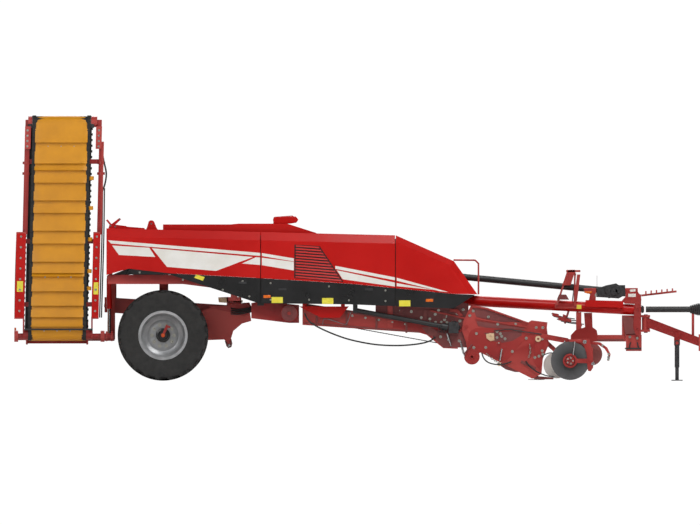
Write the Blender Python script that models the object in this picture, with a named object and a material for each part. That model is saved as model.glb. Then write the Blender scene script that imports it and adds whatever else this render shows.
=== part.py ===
"""Trailed two-row potato harvester. Metres, +Z up, +X towards the tractor, +Y to the machine's left."""
import math

import bmesh
import bpy
import numpy as np
from mathutils import Matrix, Vector

# ---- driving dimensions ----
HALF_WIDTH = 1.460         # outer face of the side panels
PANEL = 0.030              # thickness of doors, skirts and covers
GAP = 0.0003               # clearance between touching pieces
FIT = 0.0002               # clearance of a pin that turns in its bore
SEAM = 0.012               # gap between neighbouring panels
PIN_SIDES = 40             # facets of the pins and bores

WHEEL_R = 0.683
WHEEL_W = 0.700
RIM_R = 0.345
RIM_WALL = 0.030
WHEEL_Y = 1.140            # middle of the wheel from the centre line
HUB_R = 0.105
AXLE_Z = WHEEL_R
ARM_Y0 = -0.700            # the two faces of the axle arm
ARM_Y1 = -0.600

REAR_X = -0.852            # rear edge of the side panels
DOOR_SPLIT_X = 1.476       # seam between rear and middle door
NOSE_SPLIT_X = 3.506       # seam between middle door and nose
NOSE_TOP_X = 4.381
NOSE_TOP_Z = 1.801
NOSE_TIP_X = 4.736
NOSE_BEVEL = 0.085
TOP_REAR_Z = 2.295         # top edge of the side at the rear
TOP_NOSE_Z = 2.190         # top edge of the side where the nose starts
CREASE_DROP = 0.125        # height of the inclined upper band
CREASE_IN = 0.070          # how far the band leans inwards
BAND_START_X = -0.517      # rear end of the black lower band
HOOD_Z = 2.366
KNUCKLE_R = 0.0195         # door hinge barrel
HINGE_Y = HALF_WIDTH - CREASE_IN - PANEL - 0.022

FRAME_Y = HALF_WIDTH - 0.160   # middle of the side rails
RAIL_HALF = 0.045
RAIL_TOP = 1.595
RAIL_BOTTOM = 1.455
CROSS_Z = 1.470            # underside of the rear crossmembers
CROSS_REAR_X = -0.715
ROOF_RAIL = 0.060
ROOF_T = 0.015

ELEV_X0 = -2.020           # the two edges of the elevator belt
ELEV_X1 = -1.170
ELEV_REAR_X = -2.240       # rearmost face, the elevator's outer bearing
ELEV_TOP_Z = 4.000
ELEV_FOOT_Z = 0.670        # axis of the elevator's fold hinge
ELEV_Y = -1.250            # same axis, from the centre line
ELEV_LEAN = 0.0235         # forward lean, metres along for each metre up
LEAN_Z = 0.930             # height at which the lean starts
ELEV_PIN_R = 0.045
BELT_R = 0.100             # outer radius of the belt at its rollers
BELT_T = 0.016
CROSS_BELT_R = 0.070
CHANNEL_Y0 = -0.980        # ends of the fixed cross conveyor
CHANNEL_Y1 = 1.060
BEARING_X0 = -0.940
BEARING_X1 = -0.880
BEARING_R = 0.085
CYL_X = -0.810             # fold cylinder
CYL_Y = ELEV_Y + 0.280
CYL_TOP_Z = 1.540
CYL_ROD_R = 0.0262

WEB_Y0 = -1.180            # the two edges of the sieving and digging webs
WEB_Y1 = 0.180
SIEVE_R = 0.105
REAR_WEB_R = 0.090
REAR_WEB_Y = 0.500
DIG_WEB_R = 0.085
WEB_T = 0.018

PIVOT_X = 4.570            # lift axis of the digging unit
PIVOT_Z = 0.810
PIN_R = 0.028
LIFT_Y0 = WEB_Y0 - 0.095   # outer faces of the digging unit's side plates
LIFT_Y1 = WEB_Y1 + 0.095
LIFT_PLATE = 0.030
DISC_R = 0.290
DISC_X = 6.130
DISC_Z = 0.300
DISC_PIN_R = 0.025
ROLLER_X = 5.930
ROLLER_Z = 0.235
ROLLER_R = 0.200

TUBE_Y = 0.420             # drawbar, left of the intake
TUBE_R = 0.080
TUBE_SLOPE = 0.0548        # the drawbar tube falls towards the hitch head
POST_X0 = 7.120            # post of the hitch head
POST_X1 = 7.200
HEAD_W = 0.090             # half width of the hitch head
EAR = 0.035
EAR_LOW_Z = 0.735
EAR_HIGH_Z = 0.955
STEER_X = 7.270
EYE_X = 8.320
EYE_Z = 0.520
EYE_R = 0.075
PTO_Z = 1.075
JACK_X = 7.740
JACK_Y = TUBE_Y - 0.250
JACK_Z = 0.568
JACK_PIN_R = 0.024

SHIFT = (-(ELEV_REAR_X + EYE_X + EYE_R) / 2, 0.0, 0.0)  # middle of the box over the origin

# side outline: heights along the machine
TOP_LINE = ((REAR_X, TOP_REAR_Z), (NOSE_SPLIT_X, TOP_NOSE_Z), (NOSE_TOP_X, NOSE_TOP_Z))
BAND_LINE = ((REAR_X, 1.592), (BAND_START_X, 1.688), (0.105, 1.617), (1.452, 1.545), (2.816, 1.461),
             (NOSE_TOP_X, 1.307))
LOW_LINE = ((BAND_START_X, 1.640), (-0.444, 1.598), (0.105, 1.598), (1.440, 1.166), (2.816, 1.149),
            (4.375, 1.087))

HOSE_R = 0.012
HOSE_ROUTE = ((2.130, -1.3325, 1.020), (2.20, -1.3325, 0.900), (2.35, -1.3325, 0.800), (2.60, -1.3325, 0.690),
              (2.85, -1.330, 0.610), (3.20, -1.325, 0.545), (3.55, -1.310, 0.530), (3.85, -1.280, 0.555),
              (4.02, -1.258, 0.600), (4.10, -1.2528, 0.660))

SIDES = (("right", -1), ("left", 1))

COLOURS = {
    "red": ((0.56, 0.014, 0.010), 0.35, 0.0),
    "dark_red": ((0.25, 0.030, 0.028), 0.45, 0.0),
    "black": ((0.020, 0.020, 0.021), 0.45, 0.0),
    "grey": ((0.060, 0.060, 0.062), 0.50, 0.0),
    "steel": ((0.45, 0.45, 0.46), 0.35, 1.0),
    "silver": ((0.42, 0.42, 0.43), 0.40, 0.0),
    "tyre": ((0.030, 0.030, 0.030), 0.85, 0.0),
    "yellow": ((0.70, 0.36, 0.020), 0.60, 0.0),
    "white": ((0.75, 0.74, 0.70), 0.45, 0.0),
}


# ---- shape helpers: each returns a closed bmesh ----
def closed(bm):
    bmesh.ops.recalc_face_normals(bm, faces=bm.faces[:])
    return bm


def block(x, y, z):
    """A box from three (low, high) pairs."""
    bm = bmesh.new()
    bmesh.ops.create_cube(bm, size=1.0)
    for v in bm.verts:
        v.co = Vector([lo + (c + 0.5) * (hi - lo) for c, (lo, hi) in zip(v.co, (x, y, z))])
    return bm


def prism(outline, y0, y1, axis="Y"):
    """An outline carried straight along Y, X or Z."""
    bm = bmesh.new()
    put = {"Y": lambda a, b, t: (a, t, b),
           "X": lambda a, b, t: (t, a, b),
           "Z": lambda a, b, t: (a, b, t)}[axis]
    low = [bm.verts.new(put(a, b, y0)) for a, b in outline]
    high = [bm.verts.new(put(a, b, y1)) for a, b in outline]
    bm.faces.new(low)
    bm.faces.new(high[::-1])
    for i in range(len(low)):
        j = (i + 1) % len(low)
        bm.faces.new((low[i], low[j], high[j], high[i]))
    return closed(bm)


def rod(start, end, r, sides=16, r2=None):
    """A round bar between two points."""
    a, b = Vector(start), Vector(end)
    bm = bmesh.new()
    bmesh.ops.create_cone(bm, cap_ends=True, segments=sides, radius1=r, radius2=r if r2 is None else r2,
                          depth=(b - a).length)
    turn = (b - a).to_track_quat("Z", "Y").to_matrix().to_4x4()
    bmesh.ops.transform(bm, matrix=Matrix.Translation((a + b) / 2) @ turn, verts=bm.verts[:])
    return bm


def disc(x, z, r, y0, y1, sides=32):
    """A round plate or roller whose axis lies along Y."""
    return rod((x, y0, z), (x, y1, z), r, sides)


def beam(start, end, w, h):
    """A box section between two points: w across, h high."""
    a, b = Vector(start), Vector(end)
    bm = block((-w / 2, w / 2), (-h / 2, h / 2), (-(b - a).length / 2, (b - a).length / 2))
    turn = (b - a).to_track_quat("Z", "Y").to_matrix().to_4x4()
    bmesh.ops.transform(bm, matrix=Matrix.Translation((a + b) / 2) @ turn, verts=bm.verts[:])
    return bm


def lathe(profile, centre, sides=48):
    """A closed (radius, y) profile turned about an axis along Y."""
    bm = bmesh.new()
    rings = []
    for i in range(sides):
        t = 2 * math.pi * i / sides
        rings.append([bm.verts.new((centre[0] + r * math.cos(t), centre[1] + y, centre[2] + r * math.sin(t)))
                      for r, y in profile])
    for i in range(sides):
        a, b = rings[i], rings[(i + 1) % sides]
        for j in range(len(profile)):
            k = (j + 1) % len(profile)
            bm.faces.new((a[j], b[j], b[k], a[k]))
    return closed(bm)


def bent_tube(points, r, sides=10):
    """A round tube along points, with mitred corners."""
    pts = [Vector(p) for p in points]
    bm = bmesh.new()
    rings = []
    for i, p in enumerate(pts):
        before = (p - pts[i - 1]).normalized() if i else (pts[1] - p).normalized()
        after = (pts[i + 1] - p).normalized() if i + 1 < len(pts) else before
        mid = (before + after).normalized()
        side = Vector((0, 1, 0)) if abs(mid.y) < 0.9 else Vector((1, 0, 0))
        u = mid.cross(side).normalized()
        v = mid.cross(u).normalized()
        rings.append([bm.verts.new(p + r * (math.cos(a) * u + math.sin(a) * v))
                      for a in np.arange(sides) * 2 * math.pi / sides])
    for a, b in zip(rings, rings[1:]):
        for j in range(sides):
            k = (j + 1) % sides
            bm.faces.new((a[j], a[k], b[k], b[j]))
    bm.faces.new(rings[0])
    bm.faces.new(rings[-1][::-1])
    return closed(bm)


def loop_belt(a, b, r, t, y0, y1, sides=10):
    """A flat belt round two rollers at a and b in the XZ plane: outer radius r, thickness t."""
    a, b = Vector((a[0], 0, a[1])), Vector((b[0], 0, b[1]))
    base = math.atan2(b.z - a.z, b.x - a.x)

    def outline(radius):
        out = []
        for c, start in ((b, base - math.pi / 2), (a, base + math.pi / 2)):
            for s in np.linspace(0, math.pi, sides):
                out.append((c.x + radius * math.cos(start + s), c.z + radius * math.sin(start + s)))
        return out
    bm = bmesh.new()
    rows = [[bm.verts.new((x, y, z)) for x, z in outline(radius)]
            for radius, y in ((r, y0), (r, y1), (r - t, y1), (r - t, y0))]
    n = len(rows[0])
    for i in range(4):
        p, q = rows[i], rows[(i + 1) % 4]
        for j in range(n):
            k = (j + 1) % n
            bm.faces.new((p[j], q[j], q[k], p[k]))
    return closed(bm)


def roller_radius(r, t, sides=10):
    """Largest round roller inside a belt whose turns have flat facets."""
    return (r - t) * math.cos(math.pi / (2 * (sides - 1))) - GAP


def bore(start, end, r):
    """Cutter for a hole in which a faceted pin of radius r can turn."""
    return rod(start, end, (r + FIT) / math.cos(math.pi / PIN_SIDES), PIN_SIDES)


def swing(bm, matrix):
    bmesh.ops.transform(bm, matrix=matrix, verts=bm.verts[:])
    return bm


def upright(bm):
    """Turns a shape made in the XZ plane so that its Y runs along X, about the vertical."""
    return swing(bm, Matrix.Rotation(math.radians(90), 4, "Z"))


def leaning(bm):
    """Tips the elevator forwards above its foot."""
    for v in bm.verts:
        v.co.x += ELEV_LEAN * max(0.0, v.co.z - LEAN_Z)
    return bm


# ---- assembly helpers ----
def material(kind):
    found = bpy.data.materials.get(kind)
    if found:
        return found
    colour, rough, metal = COLOURS[kind]
    mat = bpy.data.materials.new(kind)
    mat.use_nodes = True
    shader = mat.node_tree.nodes["Principled BSDF"]
    shader.inputs["Base Color"].default_value = (*colour, 1)
    shader.inputs["Roughness"].default_value = rough
    shader.inputs["Metallic"].default_value = metal
    return mat


def as_object(name, bm):
    mesh = bpy.data.meshes.new(name)
    bm.to_mesh(mesh)
    bm.free()
    ob = bpy.data.objects.new(name, mesh)
    bpy.context.collection.objects.link(ob)
    return ob


def boolean(ob, bm, kind):
    tool = as_object("tool", bm)
    mod = ob.modifiers.new("step", "BOOLEAN")
    mod.operation = kind
    mod.solver = "EXACT"
    mod.object = tool
    bpy.context.view_layer.update()
    mesh = bpy.data.meshes.new_from_object(ob.evaluated_get(bpy.context.evaluated_depsgraph_get()))
    old = ob.data
    ob.modifiers.clear()
    ob.data = mesh
    bpy.data.meshes.remove(old)
    tool_mesh = tool.data
    bpy.data.objects.remove(tool)
    bpy.data.meshes.remove(tool_mesh)


def piece(name, kind, shapes, cuts=(), pivot=None):
    """One named node: shapes joined into one closed body, cuts taken away, origin on its pivot."""
    ob = as_object(name, shapes[0])
    for bm in shapes[1:]:
        boolean(ob, bm, "UNION")
    for bm in cuts:
        boolean(ob, bm, "DIFFERENCE")
    tidy = bmesh.new()
    tidy.from_mesh(ob.data)
    bmesh.ops.remove_doubles(tidy, verts=tidy.verts[:], dist=1e-5)
    bmesh.ops.dissolve_degenerate(tidy, edges=tidy.edges[:], dist=1e-5)
    origin = Vector(pivot or (0, 0, 0))
    bmesh.ops.translate(tidy, vec=-origin, verts=tidy.verts[:])
    tidy.to_mesh(ob.data)
    tidy.free()
    ob.data.shade_smooth()
    ob.data.set_sharp_from_angle(angle=math.radians(35))
    ob.data.materials.clear()
    ob.data.materials.append(material(kind))
    ob.location = origin + Vector(SHIFT)
    return ob


def mirrored(bm, side):
    """Right side as made; left side mirrored across the centre plane."""
    if side < 0:
        return bm
    bmesh.ops.scale(bm, vec=(1, -1, 1), verts=bm.verts[:])
    bmesh.ops.reverse_faces(bm, faces=bm.faces[:])
    return bm


# ---- side outline ----
def height(line, x):
    return float(np.interp(x, [p[0] for p in line], [p[1] for p in line]))


def loft(rings):
    """Closed rings of equal length joined one after another, ends capped."""
    bm = bmesh.new()
    rows = [[bm.verts.new(p) for p in ring] for ring in rings]
    for a, b in zip(rows, rows[1:]):
        for j in range(len(a)):
            k = (j + 1) % len(a)
            bm.faces.new((a[j], a[k], b[k], b[j]))
    bm.faces.new(rows[0][::-1])
    bm.faces.new(rows[-1])
    return closed(bm)


def stations(line, x0, x1):
    return sorted({x0, x1, *(p[0] for p in line if x0 < p[0] < x1)})


def side_panel(x0, x1):
    """Right-hand upper panel: upright wall with a band that leans inwards at the top."""
    rings = []
    for x in stations(TOP_LINE + BAND_LINE, x0, x1):
        top, low, w = height(TOP_LINE, x), height(BAND_LINE, x) + GAP, -HALF_WIDTH
        crease = top - CREASE_DROP
        rings.append([(x, w, low), (x, w, crease), (x, w + CREASE_IN, top),
                      (x, w + CREASE_IN + PANEL, top), (x, w + PANEL, crease), (x, w + PANEL, low)])
    return loft(rings)


def skirt(x0, x1):
    """Right-hand black lower band, set slightly inwards."""
    rings = []
    for x in stations(BAND_LINE + LOW_LINE, x0, x1):
        high, low, w = height(BAND_LINE, x) - GAP, height(LOW_LINE, x), -HALF_WIDTH + 0.004
        rings.append([(x, w, low), (x, w, high), (x, w + PANEL, high), (x, w + PANEL, low)])
    return loft(rings)


def roof_z(x):
    """Top of the roof rails, just under the top edge of the sides."""
    return height(TOP_LINE, x) - 0.050


def bodywork():
    rear, front = NOSE_SPLIT_X - SEAM, DOOR_SPLIT_X - SEAM
    for side, s in SIDES:
        for name, x0, x1, band0 in (("rear", REAR_X, front, BAND_START_X),
                                    ("middle", DOOR_SPLIT_X, rear, DOOR_SPLIT_X)):
            x = (x0 + x1) / 2
            pivot = (x, s * HINGE_Y, roof_z(x))
            shapes = [side_panel(x0, x1)]
            for hx in (x0 + 0.35, x1 - 0.35):
                ends = [(hx + d, -HINGE_Y, roof_z(hx + d)) for d in (-0.05, 0.05)]
                shapes.append(rod(*ends, KNUCKLE_R, 16))
                shapes.append(block((hx - 0.045, hx + 0.045), (-HINGE_Y - 0.055, -HINGE_Y),
                                    (roof_z(hx) - 0.011, roof_z(hx) + 0.011)))
            piece(f"{name}_door_{side}", "red", [mirrored(b, s) for b in shapes], pivot=pivot)
            piece(f"{name}_door_band_{side}", "black", [mirrored(skirt(band0, x1), s)], pivot=pivot)
    x0 = NOSE_SPLIT_X
    tip_z = 1.300
    outer = [(x0, TOP_NOSE_Z), (NOSE_TOP_X, NOSE_TOP_Z), (NOSE_TIP_X, tip_z),
             (NOSE_TOP_X, height(BAND_LINE, NOSE_TOP_X)), (x0, height(BAND_LINE, x0))]
    inner = [(x0 - 0.1, TOP_NOSE_Z + 0.04 - PANEL), (x0, TOP_NOSE_Z - PANEL),
             (NOSE_TOP_X - 0.022, NOSE_TOP_Z - PANEL), (NOSE_TIP_X - 0.055, tip_z - 0.05),
             (x0 - 0.1, tip_z - 0.05)]
    shell = prism(outer, -HALF_WIDTH, HALF_WIDTH)
    edges = [e for e in shell.edges if abs(abs(e.verts[0].co.y) - HALF_WIDTH) < 1e-6
             and abs(e.verts[0].co.y - e.verts[1].co.y) < 1e-6
             and min(v.co.z for v in e.verts) > tip_z - 0.005 and max(v.co.z for v in e.verts) > 1.5
             and not abs(e.verts[0].co.x - e.verts[1].co.x) < 1e-6]
    bmesh.ops.bevel(shell, geom=edges, offset=NOSE_BEVEL, segments=1, affect="EDGES")
    hollow = prism(inner, -HALF_WIDTH + 0.10, HALF_WIDTH - 0.10)
    drive = rod((4.2, TUBE_Y, 1.595), (4.9, TUBE_Y, 1.527), 0.080, 20)
    piece("nose_cover", "red", [shell], cuts=[hollow, drive])
    for side, s in SIDES:
        ring = [(x0, height(BAND_LINE, x0) - GAP), (NOSE_TOP_X, height(BAND_LINE, NOSE_TOP_X) - GAP),
                (NOSE_TIP_X - 0.036, tip_z - 0.0055), (4.375, 1.087), (x0, height(LOW_LINE, x0))]
        band = prism(ring, -HALF_WIDTH + 0.004, -HALF_WIDTH + 0.004 + PANEL)
        piece(f"nose_band_{side}", "black", [mirrored(band, s)])


def covers():
    """Top covers lying on the roof rails."""
    half = HINGE_Y - 0.026
    for name, x0, x1 in (("rear_roof", REAR_X, -0.02), ("front_roof", 2.33, NOSE_SPLIT_X - SEAM)):
        rings = []
        for x in (x0, x1):
            z = roof_z(x) + GAP
            rings.append([(x, -half, z), (x, half, z), (x, half, z + ROOF_T), (x, -half, z + ROOF_T)])
        piece(name, "red", [loft(rings)])
    y = HINGE_Y - 0.063
    outline = [(0.0, roof_z(0.0) + GAP), (0.0, HOOD_Z - 0.012), (1.02, HOOD_Z - 0.012), (1.14, HOOD_Z),
               (1.87, HOOD_Z), (2.31, 2.225), (2.31, roof_z(2.31) + GAP)]
    inside = [(PANEL, 2.0), (PANEL, HOOD_Z - 0.045), (1.86, HOOD_Z - 0.035), (2.27, 2.205), (2.27, 2.0)]
    piece("top_hood", "red", [prism(outline, -y, y)], cuts=[prism(inside, -y + PANEL, y - PANEL)])
    box = [(1.657, HOOD_Z + GAP), (1.69, 2.470), (1.95, 2.488), (2.03, 2.430), (1.86, HOOD_Z + GAP)]
    piece("oil_tank", "dark_red", [prism(box, -0.55, 0.30)])


def main_frame():
    """Side rails over the wheels, uprights, roof rails and crossmembers welded into one frame."""
    shapes = []
    for s in (-1, 1):
        y0, y1 = sorted((s * (FRAME_Y - RAIL_HALF), s * (FRAME_Y + RAIL_HALF)))
        rail = [(REAR_X + 0.02, RAIL_BOTTOM), (REAR_X + 0.02, RAIL_TOP), (0.10, RAIL_TOP), (1.60, 1.420),
                (4.30, 1.300), (4.30, 1.190), (1.60, 1.290), (0.30, RAIL_BOTTOM)]
        shapes.append(prism(rail, y0, y1))
    for x, z0, z1 in ((CROSS_REAR_X, CROSS_Z, 1.580), (0.05, CROSS_Z, 1.585), (1.55, 1.310, 1.400),
                      (3.42, 1.235, 1.320)):
        shapes.append(block((x - 0.05, x + 0.05), (-FRAME_Y, FRAME_Y), (z0, z1)))
    for s in (-1, 1):
        y0, y1 = sorted((s * (HINGE_Y - 0.020 - ROOF_RAIL), s * (HINGE_Y - 0.020)))
        shapes.append(prism([(REAR_X + 0.01, roof_z(REAR_X) - ROOF_RAIL), (REAR_X + 0.01, roof_z(REAR_X)),
                             (3.46, roof_z(3.46)), (3.46, roof_z(3.46) - ROOF_RAIL)], y0, y1))
        for x in (-0.79, 0.05, 1.47, 3.42):
            foot = CROSS_Z + 0.020 if x < 1 else 1.330
            shapes.append(block((x - 0.030, x + 0.030), (y0 + 0.005, y1 - 0.005), (foot, roof_z(x) - 0.010)))
    for x in (-0.79, 1.47, 3.42):
        z, end = roof_z(x), HINGE_Y - 0.050
        shapes.append(block((x - 0.025, x + 0.025), (-end, end), (z - 0.055, z - 0.008)))
    for s in (-1, 1):
        for x in (3.70, 4.10):
            y0, y1 = sorted((s * (FRAME_Y + 0.030), s * (HALF_WIDTH - 0.004 - PANEL - GAP)))
            shapes.append(block((x - 0.03, x + 0.03), (y0, y1), (1.215, 1.285)))
    piece("main_frame", "dark_red", shapes)


def running_gear():
    spindle = WHEEL_Y - 0.10
    shapes = [block((-0.075, 0.075), (-0.72, 0.72), (AXLE_Z - 0.075, AXLE_Z + 0.075))]
    for s in (-1, 1):
        shapes.append(rod((0, s * 0.60, AXLE_Z), (0, s * spindle, AXLE_Z), 0.050, 20))
        y0, y1 = sorted((s * 0.56, s * 0.68))
        shapes.append(block((-0.055, 0.055), (y0, y1), (AXLE_Z, CROSS_Z - GAP)))
    piece("rear_axle", "dark_red", shapes)
    for side, s in SIDES:
        arm = prism([(0.10, AXLE_Z - 0.05), (0.10, AXLE_Z + 0.07), (0.60, 1.06), (0.90, 1.13), (1.30, 1.08),
                     (1.33, 0.90), (1.19, 0.86), (1.06, 0.75), (1.00, 0.55), (0.92, 0.62), (0.66, 0.61)],
                    ARM_Y0, ARM_Y1)
        rail = -FRAME_Y + RAIL_HALF + 0.0004
        post = block((0.96, 1.18), (ARM_Y0 + 0.010, ARM_Y1 - 0.010), (1.05, 1.26))
        hang = block((0.98, 1.16), (rail, ARM_Y1 - 0.010), (1.20, 1.26))
        foot = block((0.076, 0.30), (ARM_Y0 + 0.005, ARM_Y1 - 0.005), (AXLE_Z - 0.045, AXLE_Z + 0.060))
        tie = block((1.02, 1.12), (rail, rail + 0.055), (1.20, 1.40))
        piece(f"axle_arm_{side}", "red", [mirrored(b, s) for b in (arm, post, hang, foot, tie)])
        y = s * WHEEL_Y
        h = WHEEL_W / 2
        tall = WHEEL_R - RIM_R
        half = [(RIM_R + GAP, h - 0.06), (RIM_R + 0.055, h - 0.01), (RIM_R + 0.46 * tall, h),
                (WHEEL_R - 0.083, h - 0.015), (WHEEL_R - 0.028, h - 0.045), (WHEEL_R, h - 0.12)]
        crown = [(r, -w) for r, w in half] + half[::-1]
        piece(f"tyre_{side}", "tyre", [lathe(crown, (0, y, AXLE_Z), 56)], pivot=(0, y, AXLE_Z))
        rim_half = h - 0.045
        inside = RIM_R - RIM_WALL
        rim = [(0.060, s * 0.02), (inside, s * 0.02), (inside, -s * rim_half), (RIM_R, -s * rim_half),
               (RIM_R, s * rim_half), (inside, s * rim_half), (inside, s * 0.06), (0.060, s * 0.06)]
        hub = rod((0, s * (spindle + GAP), AXLE_Z), (0, y + s * 0.15, AXLE_Z), HUB_R, 32)
        piece(f"wheel_{side}", "silver", [lathe(rim, (0, y, AXLE_Z), 56), hub], pivot=(0, y, AXLE_Z))


def sieving():
    """The webs and the roller table between the sides, each in its own frame."""
    walls = ((WEB_Y0 - 0.06, WEB_Y0 - 0.03), (WEB_Y1 + 0.03, WEB_Y1 + 0.06))
    low, high = (4.38, 0.62), (2.30, 1.00)
    piece("sieve_web", "grey", [loop_belt(high, low, SIEVE_R, WEB_T, WEB_Y0, WEB_Y1)])
    outline = [(2.10, 0.84), (2.10, 1.17), (3.87, 0.90), (4.46, 0.79), (PIVOT_X - 0.010, PIVOT_Z + 0.055),
               (PIVOT_X + 0.045, PIVOT_Z + 0.040), (PIVOT_X + 0.045, PIVOT_Z - 0.040), (4.54, 0.72),
               (4.44, 0.66), (4.44, 0.480), (4.22, 0.490), (3.97, 0.690), (3.87, 0.720)]
    shapes = [prism(outline, *w) for w in walls]
    shapes += [rod((x, WEB_Y0 - 0.05, z), (x, WEB_Y1 + 0.05, z), roller_radius(SIEVE_R, WEB_T), 16)
               for x, z in (low, high)]
    for x in (2.75, 3.40):
        z = high[1] + (x - high[0]) * (low[1] - high[1]) / (low[0] - high[0])
        shapes.append(block((x - 0.03, x + 0.03), (WEB_Y0 - 0.05, WEB_Y1 + 0.05), (z - 0.03, z + 0.03)))
    for w in walls:
        shapes.append(block((3.38, 3.46), (w[0] - 0.010, w[1] + 0.004), (0.80, 1.235 - GAP)))
    for inner, outer in ((walls[0][1] - 0.01, LIFT_Y0 - 0.015), (walls[1][0] + 0.01, LIFT_Y1 + 0.015)):
        shapes.append(rod((PIVOT_X, inner, PIVOT_Z), (PIVOT_X, outer, PIVOT_Z), PIN_R, PIN_SIDES))
    piece("sieve_web_frame", "dark_red", shapes)
    shapes = []
    plate = FRAME_Y - 0.0775
    outline = [(1.33, 0.94), (1.33, 1.17), (1.50, 1.20), (2.05, 1.14), (2.05, 0.87), (1.90, 0.87)]
    for y in (-plate, plate):
        shapes.append(prism(outline, y - 0.0175, y + 0.0175))
        shapes.append(block((1.52, 1.58), (y - 0.014, y + 0.014), (1.12, 1.310 - GAP)))
    for i in range(4):
        x = 1.42 + 0.18 * i
        shapes.append(disc(x, 1.050 - 0.010 * i, 0.075, -plate + 0.0025, plate - 0.0025, 16))
    shapes.append(disc(1.90, 1.015, 0.125, -FRAME_Y - 0.075, -FRAME_Y + 0.100, 28))
    piece("cleaning_rollers", "dark_red", shapes)
    high = (-0.80, 1.130)
    low = (1.180, 1.000)
    piece("rear_web", "grey", [loop_belt(high, low, REAR_WEB_R, WEB_T, -REAR_WEB_Y, REAR_WEB_Y)])
    wall = REAR_WEB_Y + 0.035
    shapes = [rod((x, -wall - 0.005, z), (x, wall + 0.005, z), roller_radius(REAR_WEB_R, WEB_T), 16)
              for x, z in (low, high)]
    for y in (-wall, wall):
        shapes.append(prism([(1.26, 0.89), (1.26, 1.12), (-0.88, 1.26), (-0.88, 1.03)], y - 0.012, y + 0.012))
        shapes.append(block((-0.76, -0.70), (y - 0.010, y + 0.010), (1.20, CROSS_Z - GAP)))
        shapes.append(block((0.02, 0.08), (y - 0.010, y + 0.010), (1.10, CROSS_Z - GAP)))
    piece("rear_web_frame", "dark_red", shapes)
    pan = [(2.045, 1.119), (2.80, 1.119), (2.66, 0.949), (2.38, 0.949)]
    wall = FRAME_Y - 0.010
    shapes = [prism(pan, -wall - 0.03, -wall)]
    shapes.append(block((2.10, 2.16), (-wall - 0.020, -wall - 0.004), (1.08, 1.2688)))
    shapes.append(block((2.68, 2.74), (-wall - 0.020, -wall - 0.004), (1.08, 1.2473)))
    piece("side_guard", "black", shapes)


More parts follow.
